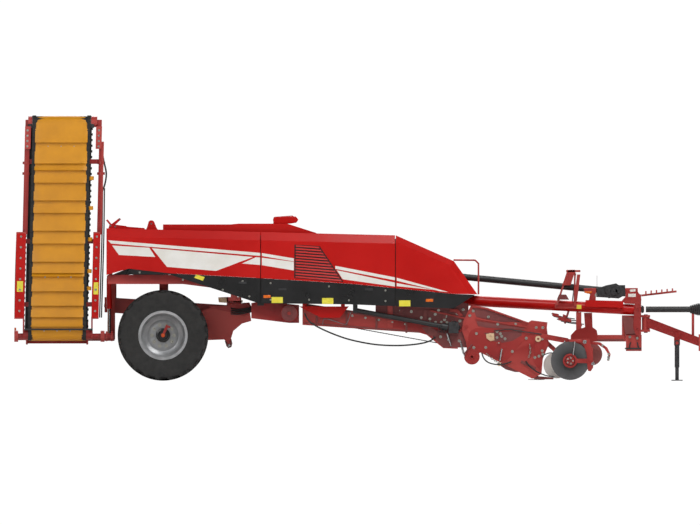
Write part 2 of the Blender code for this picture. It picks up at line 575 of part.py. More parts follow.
def rear_elevator():
    """Fixed cross section, then the fold-out boom that stands upright beside it."""
    shapes = []
    for x0 in (ELEV_X0 - 0.045, ELEV_X1 + 0.015):
        shapes.append(block((x0, x0 + 0.030), (CHANNEL_Y0, CHANNEL_Y1), (0.545, 0.900)))
    for y in (-0.86, 0.94):
        shapes.append(rod((ELEV_X0 - 0.03, y, ELEV_FOOT_Z), (ELEV_X1 + 0.03, y, ELEV_FOOT_Z),
                          roller_radius(CROSS_BELT_R, BELT_T), 16))
    shapes.append(block((ELEV_X0 - 0.03, ELEV_X1 + 0.03), (CHANNEL_Y1 - 0.025, CHANNEL_Y1), (0.56, 0.90)))
    shapes.append(block((ELEV_X0 - 0.03, ELEV_X1 + 0.03), (-0.02, 0.03), (0.655, 0.685)))
    for y in (-0.62, 0.62):
        shapes.append(block((ELEV_X1 + 0.03, -0.73), (y - 0.04, y + 0.04), (0.60, 0.70)))
        shapes.append(block((-0.80, -0.72), (y - 0.035, y + 0.035), (0.62, CROSS_Z - GAP)))
    shapes.append(block((BEARING_X0, BEARING_X1), (-1.17, 0.60), (0.615, 0.690)))
    shapes.append(rod((BEARING_X0, ELEV_Y, ELEV_FOOT_Z), (BEARING_X1, ELEV_Y, ELEV_FOOT_Z), BEARING_R, 24))
    shapes.append(block((BEARING_X0, BEARING_X1), (ELEV_Y + 0.03, -1.10), (0.620, 0.700)))
    rear0, rear1 = ELEV_REAR_X, ELEV_REAR_X + 0.060
    shapes.append(rod((rear0, ELEV_Y, ELEV_FOOT_Z), (rear1, ELEV_Y, ELEV_FOOT_Z), BEARING_R, 24))
    shapes.append(block((rear0, rear1), (ELEV_Y + 0.03, -0.90), (0.620, 0.700)))
    shapes.append(block((rear0, ELEV_X0 - 0.03), (-0.96, -0.88), (0.610, 0.710)))
    holes = [bore((x0 - 0.05, ELEV_Y, ELEV_FOOT_Z), (x1 + 0.05, ELEV_Y, ELEV_FOOT_Z), ELEV_PIN_R)
             for x0, x1 in ((BEARING_X0, BEARING_X1), (rear0, rear1))]
    piece("cross_conveyor_frame", "dark_red", shapes, cuts=holes)
    belt = loop_belt((-0.86, ELEV_FOOT_Z), (0.94, ELEV_FOOT_Z), CROSS_BELT_R, BELT_T, -ELEV_X1, -ELEV_X0)
    piece("cross_conveyor_belt", "yellow", [upright(belt)])

    pivot = (-0.80, ELEV_Y, ELEV_FOOT_Z)
    head_z = ELEV_TOP_Z - BELT_R
    foot_z = 0.700
    shapes = []
    for x0, x1, u0, u1 in ((ELEV_REAR_X, -2.090, -2.145, -2.070), (-1.080, -0.970, -1.025, -0.950)):
        shapes.append(block((x0, x1), (ELEV_Y - 0.105, ELEV_Y + 0.105), (0.930, 2.240)))
        shapes.append(block((u0, u1), (ELEV_Y - 0.055, ELEV_Y + 0.055), (2.200, head_z - 0.300)))
    for x0, x1 in ((-2.145, -2.055), (-1.075, -0.985)):
        shapes.append(block((x0, x1), (ELEV_Y - 0.100, ELEV_Y + 0.100), (head_z - 0.410, head_z - 0.070)))
        shapes.append(block((x0 + 0.004, x1 - 0.004), (ELEV_Y - 0.045, ELEV_Y + 0.045),
                            (head_z - 0.100, head_z + 0.030)))
    for x in (-2.100, -1.070):
        shapes.append(block((x - 0.012, x + 0.012), (ELEV_Y - 0.080, ELEV_Y + 0.080), (0.640, 0.960)))
    for z in (1.15, 2.10, head_z - 0.60):
        shapes.append(block((-2.12, -1.00), (ELEV_Y - 0.030, ELEV_Y + 0.030), (z - 0.035, z + 0.035)))
    for z in (head_z, foot_z):
        shapes.append(rod((-2.10, ELEV_Y, z), (-1.06, ELEV_Y, z), roller_radius(BELT_R, BELT_T, 15), 20))
    for x0, x1 in ((ELEV_REAR_X + 0.010, -2.090), (-1.070, -0.740)):
        shapes.append(rod((x0, ELEV_Y, ELEV_FOOT_Z), (x1, ELEV_Y, ELEV_FOOT_Z), ELEV_PIN_R, PIN_SIDES))
    for x0, x1 in ((CYL_X - 0.0525, CYL_X - 0.0265), (CYL_X + 0.0265, CYL_X + 0.0525)):
        shapes.append(rod((x0, ELEV_Y, ELEV_FOOT_Z), (x1, ELEV_Y, ELEV_FOOT_Z), 0.075, 24))
        shapes.append(block((x0, x1), (ELEV_Y, CYL_Y + 0.040), (0.625, 0.715)))
    piece("elevator_boom", "dark_red", [leaning(b) for b in shapes], pivot=pivot)
    belt = loop_belt((ELEV_Y, head_z), (ELEV_Y, foot_z), BELT_R, BELT_T, -ELEV_X1, -ELEV_X0, 15)
    piece("elevator_belt", "yellow", [leaning(upright(belt))], pivot=pivot)

    top = CYL_TOP_Z
    shapes = [rod((CYL_X, CYL_Y, 1.085), (CYL_X, CYL_Y, top), 0.040, 24),
              rod((CYL_X - 0.035, CYL_Y, top), (CROSS_REAR_X - 0.050 - GAP, CYL_Y, top), 0.045, 24)]
    inside = rod((CYL_X, CYL_Y, 1.0), (CYL_X, CYL_Y, 1.46), CYL_ROD_R + GAP, 24)
    piece("fold_cylinder", "red", shapes, cuts=[inside], pivot=(CYL_X, CYL_Y, top))
    shapes = [rod((CYL_X, CYL_Y, ELEV_FOOT_Z), (CYL_X, CYL_Y, 1.20), CYL_ROD_R, 24),
              rod((CYL_X - 0.026, CYL_Y, ELEV_FOOT_Z), (CYL_X + 0.026, CYL_Y, ELEV_FOOT_Z), 0.042, 24)]
    piece("fold_cylinder_rod", "steel", shapes, pivot=(CYL_X, CYL_Y, top))


def tube_z(x):
    """Height of the drawbar tube's axis."""
    return 1.205 - TUBE_SLOPE * (x - 4.635)


def front_frame():
    """Drawbar, its lower beam, the hitch head and the drives that run along them."""
    y = TUBE_Y
    flange_x = 3.470 + GAP
    tube_end = POST_X0 - GAP - TUBE_R * TUBE_SLOPE
    shapes = [rod((flange_x + 0.01, y, tube_z(3.48)), (tube_end, y, tube_z(tube_end)), TUBE_R, 24),
              block((flange_x, flange_x + 0.025), (y - TUBE_R - 0.04, y + TUBE_R + 0.04), (1.165, 1.345))]
    piece("drawbar_tube", "red", shapes)
    shapes = [beam((6.36, y - 0.165, 1.165), (6.93, y - 0.165, 1.150), 0.08, 0.10)]
    shapes += [block((x, x + 0.06), (y - 0.15, y - TUBE_R - 0.0004), (z - 0.02, z + 0.02))
               for x, z in ((6.40, tube_z(6.43)), (6.83, tube_z(6.86)))]
    piece("hose_duct", "red", shapes)
    under = tube_z(POST_X0) - TUBE_R - 0.004
    shapes = [block((POST_X0, POST_X1), (y - HEAD_W, y + HEAD_W), (0.600, 1.300)),
              block((6.960, 7.150), (y - HEAD_W, y + HEAD_W), (1.230, 1.396)),
              block((6.910, POST_X0 + 0.01), (y - 0.060, y + 0.060), (0.690, under)),
              block((6.970, POST_X1 + 0.008), (y - HEAD_W + 0.004, y + HEAD_W - 0.004), (0.447, 0.690)),
              rod((POST_X1 - 0.02, y, PTO_Z), (7.245, y, PTO_Z), 0.040, 16)]
    ear = [(POST_X1 - 0.02, y - 0.07), (STEER_X + 0.03, y - 0.07), (STEER_X + 0.065, y - 0.035),
           (STEER_X + 0.065, y + 0.035), (STEER_X + 0.03, y + 0.07), (POST_X1 - 0.02, y + 0.07)]
    ears = [prism(ear, z, z + EAR, "Z") for z in (EAR_LOW_Z, EAR_HIGH_Z)]
    hole = bore((STEER_X, y, EAR_LOW_Z - 0.035), (STEER_X, y, EAR_HIGH_Z + 0.045), PIN_R)
    piece("hitch_head", "dark_red", shapes + ears, cuts=[hole])
    rise = tube_z(6.30) - TUBE_R - 0.0015
    shapes = [block((6.180, 6.970 - GAP), (y - 0.05, y + 0.05), (0.590, 0.690)),
              block((6.220, 6.300), (y - 0.04, y + 0.04), (0.65, rise))]
    piece("drawbar_beam", "dark_red", shapes)
    gear_x, gear_z = 6.680, 1.357
    shapes = [block((6.740, 6.960 - GAP), (y - 0.08, y + 0.08), (1.270, 1.440)),
              rod((gear_x, y, gear_z), (6.76, y, gear_z), 0.060, 20)]
    piece("front_gearbox", "grey", shapes)
    driveline = rod((4.30, y, 1.585), (gear_x - 0.0055, y, gear_z + 0.0005), 0.050, 20)
    piece("upper_driveline", "grey", [driveline])
    feet = []
    leg = TUBE_R + 0.026
    for fy in (y - leg, y + leg):
        feet.append(bent_tube([(5.93, fy, tube_z(5.93)), (6.10, fy, 1.66), (6.20, fy, 1.66),
                               (6.20, fy, tube_z(6.20))], 0.016, 8))
    feet.append(block((6.10, 6.20), (y - leg - 0.004, y + leg + 0.004), (1.650, 1.672)))
    for y0, y1 in ((y - TUBE_R - 0.025, y - TUBE_R - 0.0008), (y + TUBE_R + 0.0008, y + TUBE_R + 0.025)):
        feet.append(block((5.90, 6.23), (y0, y1), (tube_z(6.07) - 0.04, tube_z(6.07) + 0.04)))
    piece("arch_bracket", "dark_red", feet)
    hoop = []
    for hy in (-0.95, 0.95):
        route = [(4.375, hy, 1.8185), (4.70, hy, 1.815), (4.7505, hy, 1.765), (4.7505, hy, 1.300)]
        hoop.append(bent_tube(route, 0.014))
    hoop.append(rod((4.7505, -0.95, 1.42), (4.7505, 0.95, 1.42), 0.011, 10))
    piece("front_hoop", "dark_red", hoop)
    comb = [beam((POST_X1 + 0.002, y, 1.283), (7.733, y, 1.345), 0.050, 0.030)]
    for x in (7.26, 7.34, 7.42, 7.50, 7.58, 7.66):
        rise = 0.1 * (x - POST_X1)
        comb.append(block((x, x + 0.022), (y - 0.060, y + 0.060), (1.290 + rise, 1.345 + rise)))
    piece("hose_holder", "dark_red", comb)
    shaft_y = -FRAME_Y - 0.025
    box_x = 4.300
    shapes = [rod((2.90, shaft_y, 1.062), (box_x - 0.020, shaft_y, 0.804), 0.035, 16),
              rod((box_x - 0.100, shaft_y, 0.819), (box_x - GAP - 0.012, shaft_y, 0.802), 0.055, 20),
              block((2.86, 2.93), (shaft_y - 0.03, shaft_y + 0.05), (1.020, 1.2404 - GAP))]
    piece("lower_drive_shaft", "black", shapes)
    box = block((box_x, box_x + 0.150), (shaft_y - 0.055, WEB_Y0 - 0.060 - GAP), (0.715, 0.885))
    piece("web_gearbox", "grey", [box])


def digging_unit():
    """Lifting frame with its web, share, disc coulters and ridge rollers."""
    pivot = (PIVOT_X, 0.0, PIVOT_Z)
    plate = [(4.500, 0.760), (4.520, 0.900), (4.640, 1.140), (4.880, 1.100), (5.500, 0.880), (5.550, 0.910),
             (5.790, 0.880), (5.780, 0.800), (5.810, 0.550), (5.720, 0.330), (5.700, 0.100), (5.560, 0.030),
             (4.950, 0.340), (4.580, 0.520)]
    shapes = [prism(plate, LIFT_Y0, LIFT_Y0 + LIFT_PLATE), prism(plate, LIFT_Y1 - LIFT_PLATE, LIFT_Y1)]
    inner0, inner1 = LIFT_Y0 + 0.02, LIFT_Y1 - 0.02
    high, low = (4.700, 0.580), (5.400, 0.245)
    shapes.append(block((5.600, 5.720), (LIFT_Y0 - 0.012, LIFT_Y1 + 0.012), (0.620, 0.730)))
    for x, z in (high, low):
        shapes.append(rod((x, inner0, z), (x, inner1, z), roller_radius(DIG_WEB_R, WEB_T), 16))
    shapes.append(block((5.02, 5.08), (inner0, inner1), (0.380, 0.440)))
    arm0, arm1 = LIFT_Y0 + 0.075, LIFT_Y1 - 0.075
    middle, row = (arm0 + arm1) / 2, (arm1 - arm0) / 2
    for y in (arm0, middle, arm1):
        shapes.append(prism([(5.65, 0.64), (5.68, 0.71), (5.95, 0.46), (ROLLER_X + 0.04, ROLLER_Z - 0.04),
                             (ROLLER_X - 0.04, ROLLER_Z - 0.04), (5.88, 0.44)], y - 0.015, y + 0.015))
    shapes.append(rod((ROLLER_X, arm0 - 0.01, ROLLER_Z), (ROLLER_X, arm1 + 0.01, ROLLER_Z), DISC_PIN_R, 12))
    for y0, y1, tip in ((LIFT_Y0 - 0.021, LIFT_Y0 + 0.006, LIFT_Y0 - 0.075),
                        (LIFT_Y1 - 0.006, LIFT_Y1 + 0.021, LIFT_Y1 + 0.075)):
        shapes.append(prism([(5.69, 0.635), (5.69, 0.715), (6.10, 0.64), (6.17, 0.50),
                             (DISC_X + 0.04, DISC_Z - 0.03), (DISC_X - 0.04, DISC_Z - 0.03),
                             (6.09, 0.48), (6.04, 0.57)], y0, y1))
        shapes.append(rod((DISC_X, (y0 + y1) / 2, DISC_Z), (DISC_X, tip, DISC_Z), DISC_PIN_R, 12))
        fork = [(6.050, 0.630), (6.370, 0.615), (6.420, 0.430), (6.430, 0.250), (6.400, 0.170), (6.340, 0.200),
                (6.330, 0.400), (6.300, 0.530), (6.090, 0.560)]
        guard = [(6.360, 0.600), (6.580, 0.580), (6.690, 0.500), (6.740, 0.400), (6.720, 0.300), (6.690, 0.300),
                 (6.700, 0.400), (6.650, 0.480), (6.560, 0.540), (6.380, 0.555)]
        shapes.append(prism(fork, y0 + 0.003, y1 - 0.003))
        shapes.append(prism(guard, y0 + 0.006, y1 - 0.006))
    holes = [bore((PIVOT_X, y - 0.1, PIVOT_Z), (PIVOT_X, y + 0.1, PIVOT_Z), PIN_R)
             for y in (LIFT_Y0 + LIFT_PLATE / 2, LIFT_Y1 - LIFT_PLATE / 2)]
    piece("digging_frame", "dark_red", shapes, cuts=holes, pivot=pivot)
    piece("digging_web", "grey", [loop_belt(high, low, DIG_WEB_R, WEB_T, WEB_Y0, WEB_Y1)], pivot=pivot)
    blade = [(5.500, 0.140), (5.520, 0.156), (5.700, 0.040), (5.715, 0.012), (5.700, 0.012)]
    inner = LIFT_PLATE + GAP
    piece("share", "steel", [prism(blade, LIFT_Y0 + inner, LIFT_Y1 - inner)], pivot=pivot)
    for side, y in (("right", LIFT_Y0 - 0.060), ("left", LIFT_Y1 + 0.060)):
        hole = DISC_PIN_R + GAP
        dish = [(hole, -0.018), (0.065, -0.018), (0.070, -0.006), (DISC_R, -0.005), (DISC_R, 0.005),
                (0.070, 0.006), (0.065, 0.018), (hole, 0.018)]
        centre = (DISC_X, y, DISC_Z)
        piece(f"disc_coulter_{side}", "black", [lathe(dish, centre, 40)], pivot=centre)
    for side, y in (("right", middle - row / 2), ("left", middle + row / 2)):
        half = row / 2 - 0.050
        waist = [(hole, -half), (ROLLER_R, -half), (ROLLER_R, -half + 0.012), (0.115, -0.05), (0.115, 0.05),
                 (ROLLER_R, half - 0.012), (ROLLER_R, half), (hole, half)]
        centre = (ROLLER_X, y, ROLLER_Z)
        piece(f"ridge_roller_{side}", "white", [lathe(waist, centre, 32)], pivot=centre)


def towing():
    """Front drawbar that steers at the hitch head, its tow eye, shaft and parking jack."""
    y = TUBE_Y
    pivot = (STEER_X, y, 0.85)
    half = 0.055
    shapes = [rod((STEER_X, y, EAR_LOW_Z + EAR + GAP), (STEER_X, y, EAR_HIGH_Z - GAP), 0.060, 24),
              rod((STEER_X, y, EAR_LOW_Z - 0.015), (STEER_X, y, EAR_HIGH_Z + 0.045), PIN_R, PIN_SIDES),
              prism([(STEER_X, 0.940), (7.34, 0.935), (8.08, 0.650), (8.08, 0.515), (7.34, 0.785),
                     (STEER_X, 0.795)], y - half, y + half),
              block((8.065, 8.095), (y - 0.09, y + 0.09), (0.447, 0.700)),
              block((7.695, 7.785), (y - half - 0.030, y - half + 0.01), (0.530, 0.730)),
              rod((JACK_X, y - half - 0.01, JACK_Z), (JACK_X, JACK_Y - 0.055, JACK_Z), JACK_PIN_R, PIN_SIDES),
              block((7.960, 8.000), (y - 0.02, y + 0.02), (0.62, 1.030 - GAP))]
    piece("tow_arm", "dark_red", shapes, pivot=pivot)
    eye = [rod((EYE_X, y, EYE_Z - 0.035), (EYE_X, y, EYE_Z + 0.035), EYE_R, 28),
           prism([(8.110, 0.470), (8.110, 0.640), (8.20, 0.570), (EYE_X - 0.030, EYE_Z + 0.032),
                  (EYE_X - 0.030, EYE_Z - 0.032), (8.20, 0.480)], y - 0.045, y + 0.045),
           block((8.095 + GAP, 8.120), (y - 0.085, y + 0.085), (0.455, 0.690))]
    piece("tow_eye", "grey", eye, cuts=[rod((EYE_X, y, 0.40), (EYE_X, y, 0.62), 0.040, 28)], pivot=pivot)
    shaft = [rod((STEER_X, y, PTO_Z), (8.120, y, PTO_Z), 0.045, 20),
             rod((8.06, y, PTO_Z), (8.22, y, PTO_Z), 0.060, 24, 0.095),
             rod((8.20, y, PTO_Z), (EYE_X, y, PTO_Z), 0.040, 16)]
    piece("pto_shaft", "black", shaft, pivot=pivot)
    leg = [rod((JACK_X, JACK_Y - 0.040, JACK_Z), (JACK_X, JACK_Y + 0.040, JACK_Z), 0.045, 24),
           rod((JACK_X, JACK_Y, JACK_Z), (JACK_X, JACK_Y, 0.20), 0.036, 20),
           rod((JACK_X, JACK_Y, 0.25), (JACK_X, JACK_Y, 0.008), 0.028, 16),
           block((JACK_X - 0.085, JACK_X + 0.085), (JACK_Y - 0.085, JACK_Y + 0.085), (0.0, 0.014))]
    hole = bore((JACK_X, JACK_Y - 0.1, JACK_Z), (JACK_X, JACK_Y + 0.1, JACK_Z), JACK_PIN_R)
    piece("parking_jack", "grey", leg, cuts=[hole], pivot=(JACK_X, JACK_Y, JACK_Z))


def hose():
    """Hose loop that hangs free between the side guard and the web frame."""
    curve = bpy.data.curves.new("hose_loop", "CURVE")
    curve.dimensions = "3D"
    curve.bevel_depth = HOSE_R
    curve.bevel_resolution = 2
    curve.use_fill_caps = True
    pts = smooth(HOSE_ROUTE, 5)
    line = curve.splines.new("POLY")
    line.points.add(len(pts) - 1)
    for p, co in zip(line.points, pts):
        p.co = (*co, 1)
    ob = bpy.data.objects.new("hose_loop", curve)
    ob.location = SHIFT
    curve.materials.append(material("grey"))
    bpy.context.collection.objects.link(ob)


def smooth(points, steps):
    """Catmull-Rom curve through the route's points."""
    p = [Vector(q) for q in points]
    p = [2 * p[0] - p[1], *p, 2 * p[-1] - p[-2]]
    out = []
    for i in range(1, len(p) - 2):
        for k in range(steps):
            t = k / steps
            out.append(0.5 * (2 * p[i] + (p[i + 1] - p[i - 1]) * t
                              + (2 * p[i - 1] - 5 * p[i] + 4 * p[i + 1] - p[i + 2]) * t ** 2
                              + (3 * p[i] - p[i - 1] - 3 * p[i + 1] + p[i + 2]) * t ** 3))
    return [*out, p[-2]]


for old in list(bpy.data.objects):
    bpy.data.objects.remove(old)
main_frame()
bodywork()
covers()
running_gear()
sieving()
rear_elevator()
front_frame()
digging_unit()
towing()
hose()
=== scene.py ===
# Trailed potato harvester: detail, finishes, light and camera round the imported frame
import math
import bpy
import numpy as np
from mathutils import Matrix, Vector


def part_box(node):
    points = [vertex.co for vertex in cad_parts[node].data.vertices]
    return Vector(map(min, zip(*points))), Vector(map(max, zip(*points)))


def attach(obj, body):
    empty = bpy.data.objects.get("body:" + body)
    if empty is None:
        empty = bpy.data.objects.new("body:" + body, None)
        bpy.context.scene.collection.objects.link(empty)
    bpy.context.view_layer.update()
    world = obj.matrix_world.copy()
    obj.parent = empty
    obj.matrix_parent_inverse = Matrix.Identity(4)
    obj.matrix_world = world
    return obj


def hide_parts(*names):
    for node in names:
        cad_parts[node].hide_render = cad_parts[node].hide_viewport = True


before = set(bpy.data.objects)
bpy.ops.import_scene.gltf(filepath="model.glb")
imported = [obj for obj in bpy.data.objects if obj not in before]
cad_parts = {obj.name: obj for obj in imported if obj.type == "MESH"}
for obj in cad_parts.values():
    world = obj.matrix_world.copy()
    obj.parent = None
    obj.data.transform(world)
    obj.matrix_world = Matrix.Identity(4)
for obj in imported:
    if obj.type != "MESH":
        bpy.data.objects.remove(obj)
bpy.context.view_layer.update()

print("stage: frame loaded")


# places taken from the frame
def boxOf(node):
    low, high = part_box(node)
    return np.array(low), np.array(high)


def middleOf(node):
    low, high = boxOf(node)
    return (low + high) / 2


wheelMid = middleOf("tyre_right")
axleX = wheelMid[0]            # the machine's own X zero is the main axle
sideY = boxOf("rear_door_right")[0][1]


def mx(x):
    return x + axleX           # metres ahead of the axle, as a world X


# materials
def linear(hexValue):
    rgb = [int(hexValue[i:i + 2], 16) / 255 for i in (0, 2, 4)]
    return tuple(c / 12.92 if c <= 0.04045 else ((c + 0.055) / 1.055) ** 2.4 for c in rgb) + (1.0,)


def addNode(tree, kind, settings=None, links=None):
    node = tree.nodes.new(kind)
    for key, value in (settings or {}).items():
        if key in node.inputs:
            node.inputs[key].default_value = value
        else:
            setattr(node, key, value)
    for key, source in (links or {}).items():
        tree.links.new(source, node.inputs[key])
    return node


def finish(name, base, tint, rough, metal=0.0, grainMm=0.6, bump=0.08, mottleMm=180.0, coat=0.0, ior=1.5,
           roughSpread=0.10, wear=None, stretch=(1, 1, 1)):
    # paint, rubber or metal: two tones mottled over mottleMm, roughness and bump with a grain of grainMm
    mat = bpy.data.materials.new(name)
    mat.use_nodes = True
    tree = mat.node_tree
    shader = tree.nodes["Principled BSDF"]
    place = addNode(tree, "ShaderNodeTexCoord")
    mapped = addNode(tree, "ShaderNodeMapping", {"Scale": stretch}, {"Vector": place.outputs["Object"]})
    vector = mapped.outputs["Vector"]
    broad = addNode(tree, "ShaderNodeTexNoise", {"Scale": 1000.0 / mottleMm, "Detail": 5.0, "Roughness": 0.6},
                    {"Vector": vector})
    fine = addNode(tree, "ShaderNodeTexNoise", {"Scale": 1000.0 / grainMm, "Detail": 3.0}, {"Vector": vector})
    ramp = addNode(tree, "ShaderNodeValToRGB", None, {"Fac": broad.outputs["Fac"]})
    ramp.color_ramp.elements[0].position = 0.35
    ramp.color_ramp.elements[0].color = linear(base)
    ramp.color_ramp.elements[1].position = 0.68
    ramp.color_ramp.elements[1].color = linear(tint)
    colour = ramp.outputs["Color"]
    if wear:
        edge = addNode(tree, "ShaderNodeNewGeometry")
        worn = addNode(tree, "ShaderNodeMapRange", {"From Min": 0.52, "From Max": 0.60},
                       {"Value": edge.outputs["Pointiness"]})
        mixed = addNode(tree, "ShaderNodeMix", {"data_type": "RGBA"})
        tree.links.new(worn.outputs["Result"], mixed.inputs[0])
        tree.links.new(colour, mixed.inputs[6])
        mixed.inputs[7].default_value = linear(wear)
        colour = mixed.outputs[2]
    tree.links.new(colour, shader.inputs["Base Color"])
    spread = addNode(tree, "ShaderNodeMapRange", {"To Min": rough - roughSpread, "To Max": rough + roughSpread},
                     {"Value": broad.outputs["Fac"]})
    tree.links.new(spread.outputs["Result"], shader.inputs["Roughness"])
    shader.inputs["Metallic"].default_value = metal
    if metal < 0.5:
        shader.inputs["IOR"].default_value = ior
    shader.inputs["Coat Weight"].default_value = coat
    shader.inputs["Coat Roughness"].default_value = 0.08
    relief = addNode(tree, "ShaderNodeBump", {"Strength": bump, "Distance": 0.001}, {"Height": fine.outputs["Fac"]})
    tree.links.new(relief.outputs["Normal"], shader.inputs["Normal"])
    return mat


# stoved enamel on steel sheet: glossy, a faint orange peel
redEnamel = finish("redEnamel", "B90A05", "C5100A", 0.38, grainMm=4.0, bump=0.03, coat=0.08, mottleMm=900, ior=1.33)
# the same enamel on welded sections, which stand in each other's shade and gather dust
frameEnamel = finish("frameRedEnamel", "8A100E", "9C1916", 0.38, grainMm=3.0, bump=0.10, coat=0.15, mottleMm=240,
                     wear="B4403A")
# the same red, darker and greyer, for parts low on the machine, in recesses and under other parts: painted shade
shadedRedEnamel = finish("paintedShadeRedEnamel", "5E2426", "713032", 0.52, grainMm=2.0, bump=0.14, mottleMm=140, wear="8A4642")
blackEnamel = finish("blackSheetEnamel", "101011", "1C1C1E", 0.30, grainMm=4.0, bump=0.05, coat=0.35, mottleMm=500)
# rolled rim, aluminium-coloured lacquer
rimLacquer = finish("silverRimLacquer", "9A9B9D", "B2B3B5", 0.36, metal=0.35, grainMm=1.5, bump=0.05, coat=0.2,
                    mottleMm=120)
# vulcanised tyre: dull black with chalky bloom
tyreRubber = finish("tyreRubber", "232323", "323130", 0.80, grainMm=2.0, bump=0.35, mottleMm=90, roughSpread=0.08)
# PVC flights on the elevator: satin yellow-orange, shaded by handling
beltRubber = finish("yellowBeltRubber", "D08A02", "DE9604", 0.42, grainMm=3.0, bump=0.10, mottleMm=420)
blackRubber = finish("blackBeltRubber", "171717", "252423", 0.66, grainMm=2.0, bump=0.2, mottleMm=60)
# polyethylene shaft guard: moulded, slightly waxy
guardPlastic = finish("guardPolyethylene", "1D1D1E", "29292A", 0.46, grainMm=1.2, bump=0.15, mottleMm=120)
castGrey = finish("greyGearboxCasting", "2C2C2E", "3B3B3D", 0.52, metal=0.2, grainMm=1.6, bump=0.45, mottleMm=60)
barSteel = finish("drawnWebSteel", "77787A", "949596", 0.34, metal=0.9, grainMm=0.8, bump=0.12, mottleMm=80,
                  stretch=(1, 0.1, 1))
brightSteel = finish("groundPistonSteel", "B9BABC", "CFD0D1", 0.16, metal=1.0, grainMm=0.5, bump=0.03,
                     mottleMm=60, roughSpread=0.04)
zincBolt = finish("zincPlatedBolt", "A8A79F", "BDBBB2", 0.30, metal=0.9, grainMm=0.7, bump=0.08, mottleMm=30)
whiteEnamel = finish("whiteEnamel", "E9E6DE", "F4F2EE", 0.32, grainMm=3.0, bump=0.05, coat=0.3, mottleMm=300)
stickerYellow = finish("yellowVinyl", "E9DC3A", "F0E450", 0.42, grainMm=1.0, bump=0.03, mottleMm=40)
lampOrange = finish("orangeLampLens", "E0641A", "F07A28", 0.15, grainMm=1.0, bump=0.05, coat=0.6, mottleMm=30)
discSteel = finish("blackDiscSteel", "161617", "262627", 0.38, metal=0.5, grainMm=1.0, bump=0.15, mottleMm=50,
                   wear="8A8A8C")
hoseRubber = finish("hydraulicHoseRubber", "1F1F20", "2B2B2B", 0.55, grainMm=1.2, bump=0.25, mottleMm=40)
hubOrange = finish("orangeHubCap", "C4461A", "D85A26", 0.35, grainMm=1.0, bump=0.05, mottleMm=30)
floorPale = finish("paleStudioFloor", "F2F1EF", "F5F4F2", 0.75, grainMm=6.0, bump=0.02, mottleMm=900)

nodeFinish = {
    "rear_door_": redEnamel, "middle_door_": redEnamel, "nose_cover": redEnamel, "rear_roof": redEnamel,
    "front_roof": redEnamel, "top_hood": redEnamel, "fold_cylinder": redEnamel, "drawbar_tube": redEnamel,
    "hose_duct": redEnamel, "nose_band": blackEnamel, "side_guard": redEnamel, "tyre_": tyreRubber,
    "wheel_": rimLacquer, "elevator_belt": blackRubber, "cross_conveyor_belt": beltRubber, "sieve_web": barSteel,
    "digging_web": barSteel, "rear_web": barSteel, "share": barSteel, "fold_cylinder_rod": brightSteel,
    "pto_shaft": guardPlastic, "lower_drive_shaft": guardPlastic, "upper_driveline": guardPlastic,
    "front_gearbox": castGrey, "web_gearbox": castGrey, "tow_eye": castGrey, "parking_jack": castGrey,
    "disc_coulter": discSteel, "ridge_roller": whiteEnamel, "hose_loop": hoseRubber,
}


def paintNodes():   # longest matching name wins; whatever is left is frame enamel
    for name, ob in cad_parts.items():
        keys = [k for k in nodeFinish if name.startswith(k)]
        mat = nodeFinish[max(keys, key=len)] if keys else frameEnamel
        if "_band_" in name:
            mat = blackEnamel
        if name.endswith("_frame"):
            mat = frameEnamel
        ob.data.materials.clear()
        ob.data.materials.append(mat)


paintNodes()
print("stage: frame painted")


# surfaces worked out as whole arrays
def gridFaces(rows, cols, closeRows, closeCols):
    # quad (i, j) joins each grid point to its right and upper neighbours, wrapping where the surface closes
    i, j = np.meshgrid(np.arange(rows - (not closeRows)), np.arange(cols - (not closeCols)), indexing="ij")
    a = i * cols + j
    b = i * cols + (j + 1) % cols
    c = (i + 1) % rows * cols + (j + 1) % cols
    d = (i + 1) % rows * cols + j
    return np.stack([a, b, c, d], -1).reshape(-1, 4)


def fanCap(start, count, flip):
    # a ring of count points closed by one many-sided face
    ring = np.arange(start, start + count)
    return ring[::-1] if flip else ring


boomLean = {"slope": 0.0235, "start": 0.93}


def leanAt(z):
    # the standing boom tips forwards in proportion to the height above its foot
    return boomLean["slope"] * np.maximum(0.0, z - boomLean["start"])


class Heap:   # shapes gathered before they become one mesh
    def __init__(self, leans=False):
        self.points, self.quads, self.caps, self.count, self.leans = [], [], [], 0, leans

    def add(self, points, quads, caps=()):
        self.points.append(np.asarray(points, float).reshape(-1, 3))
        self.quads.append(np.asarray(quads, int).reshape(-1, 4) + self.count)
        self.caps += [np.asarray(c) + self.count for c in caps]
        self.count += len(self.points[-1])

    def build(self, name, mat, body, smooth=35, bevel=None, replaced=()):
        faces = np.concatenate(self.quads).tolist() + [c.tolist() for c in self.caps]
        points = np.concatenate(self.points)
        if self.leans:
            points[:, 0] += leanAt(points[:, 2])
        mesh = bpy.data.meshes.new(name)
        mesh.from_pydata(points.tolist(), [], faces)
        mesh.validate()
        ob = bpy.data.objects.new(name, mesh)
        bpy.context.scene.collection.objects.link(ob)
        outward(mesh)
        mesh.shade_smooth()
        mesh.set_sharp_from_angle(angle=math.radians(smooth))
        mesh.materials.append(mat)
        if bevel:
            mod = ob.modifiers.new("edge", "BEVEL")
            mod.width, mod.segments, mod.limit_method, mod.angle_limit = bevel, 2, "ANGLE", math.radians(40)
        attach(ob, body)
        if replaced:
            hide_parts(*replaced)
        return ob


def outward(mesh):
    import bmesh
    bm = bmesh.new()
    bm.from_mesh(mesh)
    bmesh.ops.recalc_face_normals(bm, faces=bm.faces[:])
    bm.to_mesh(mesh)
    bm.free()


def unit(v):
    return v / np.maximum(np.linalg.norm(v, axis=-1, keepdims=True), 1e-12)


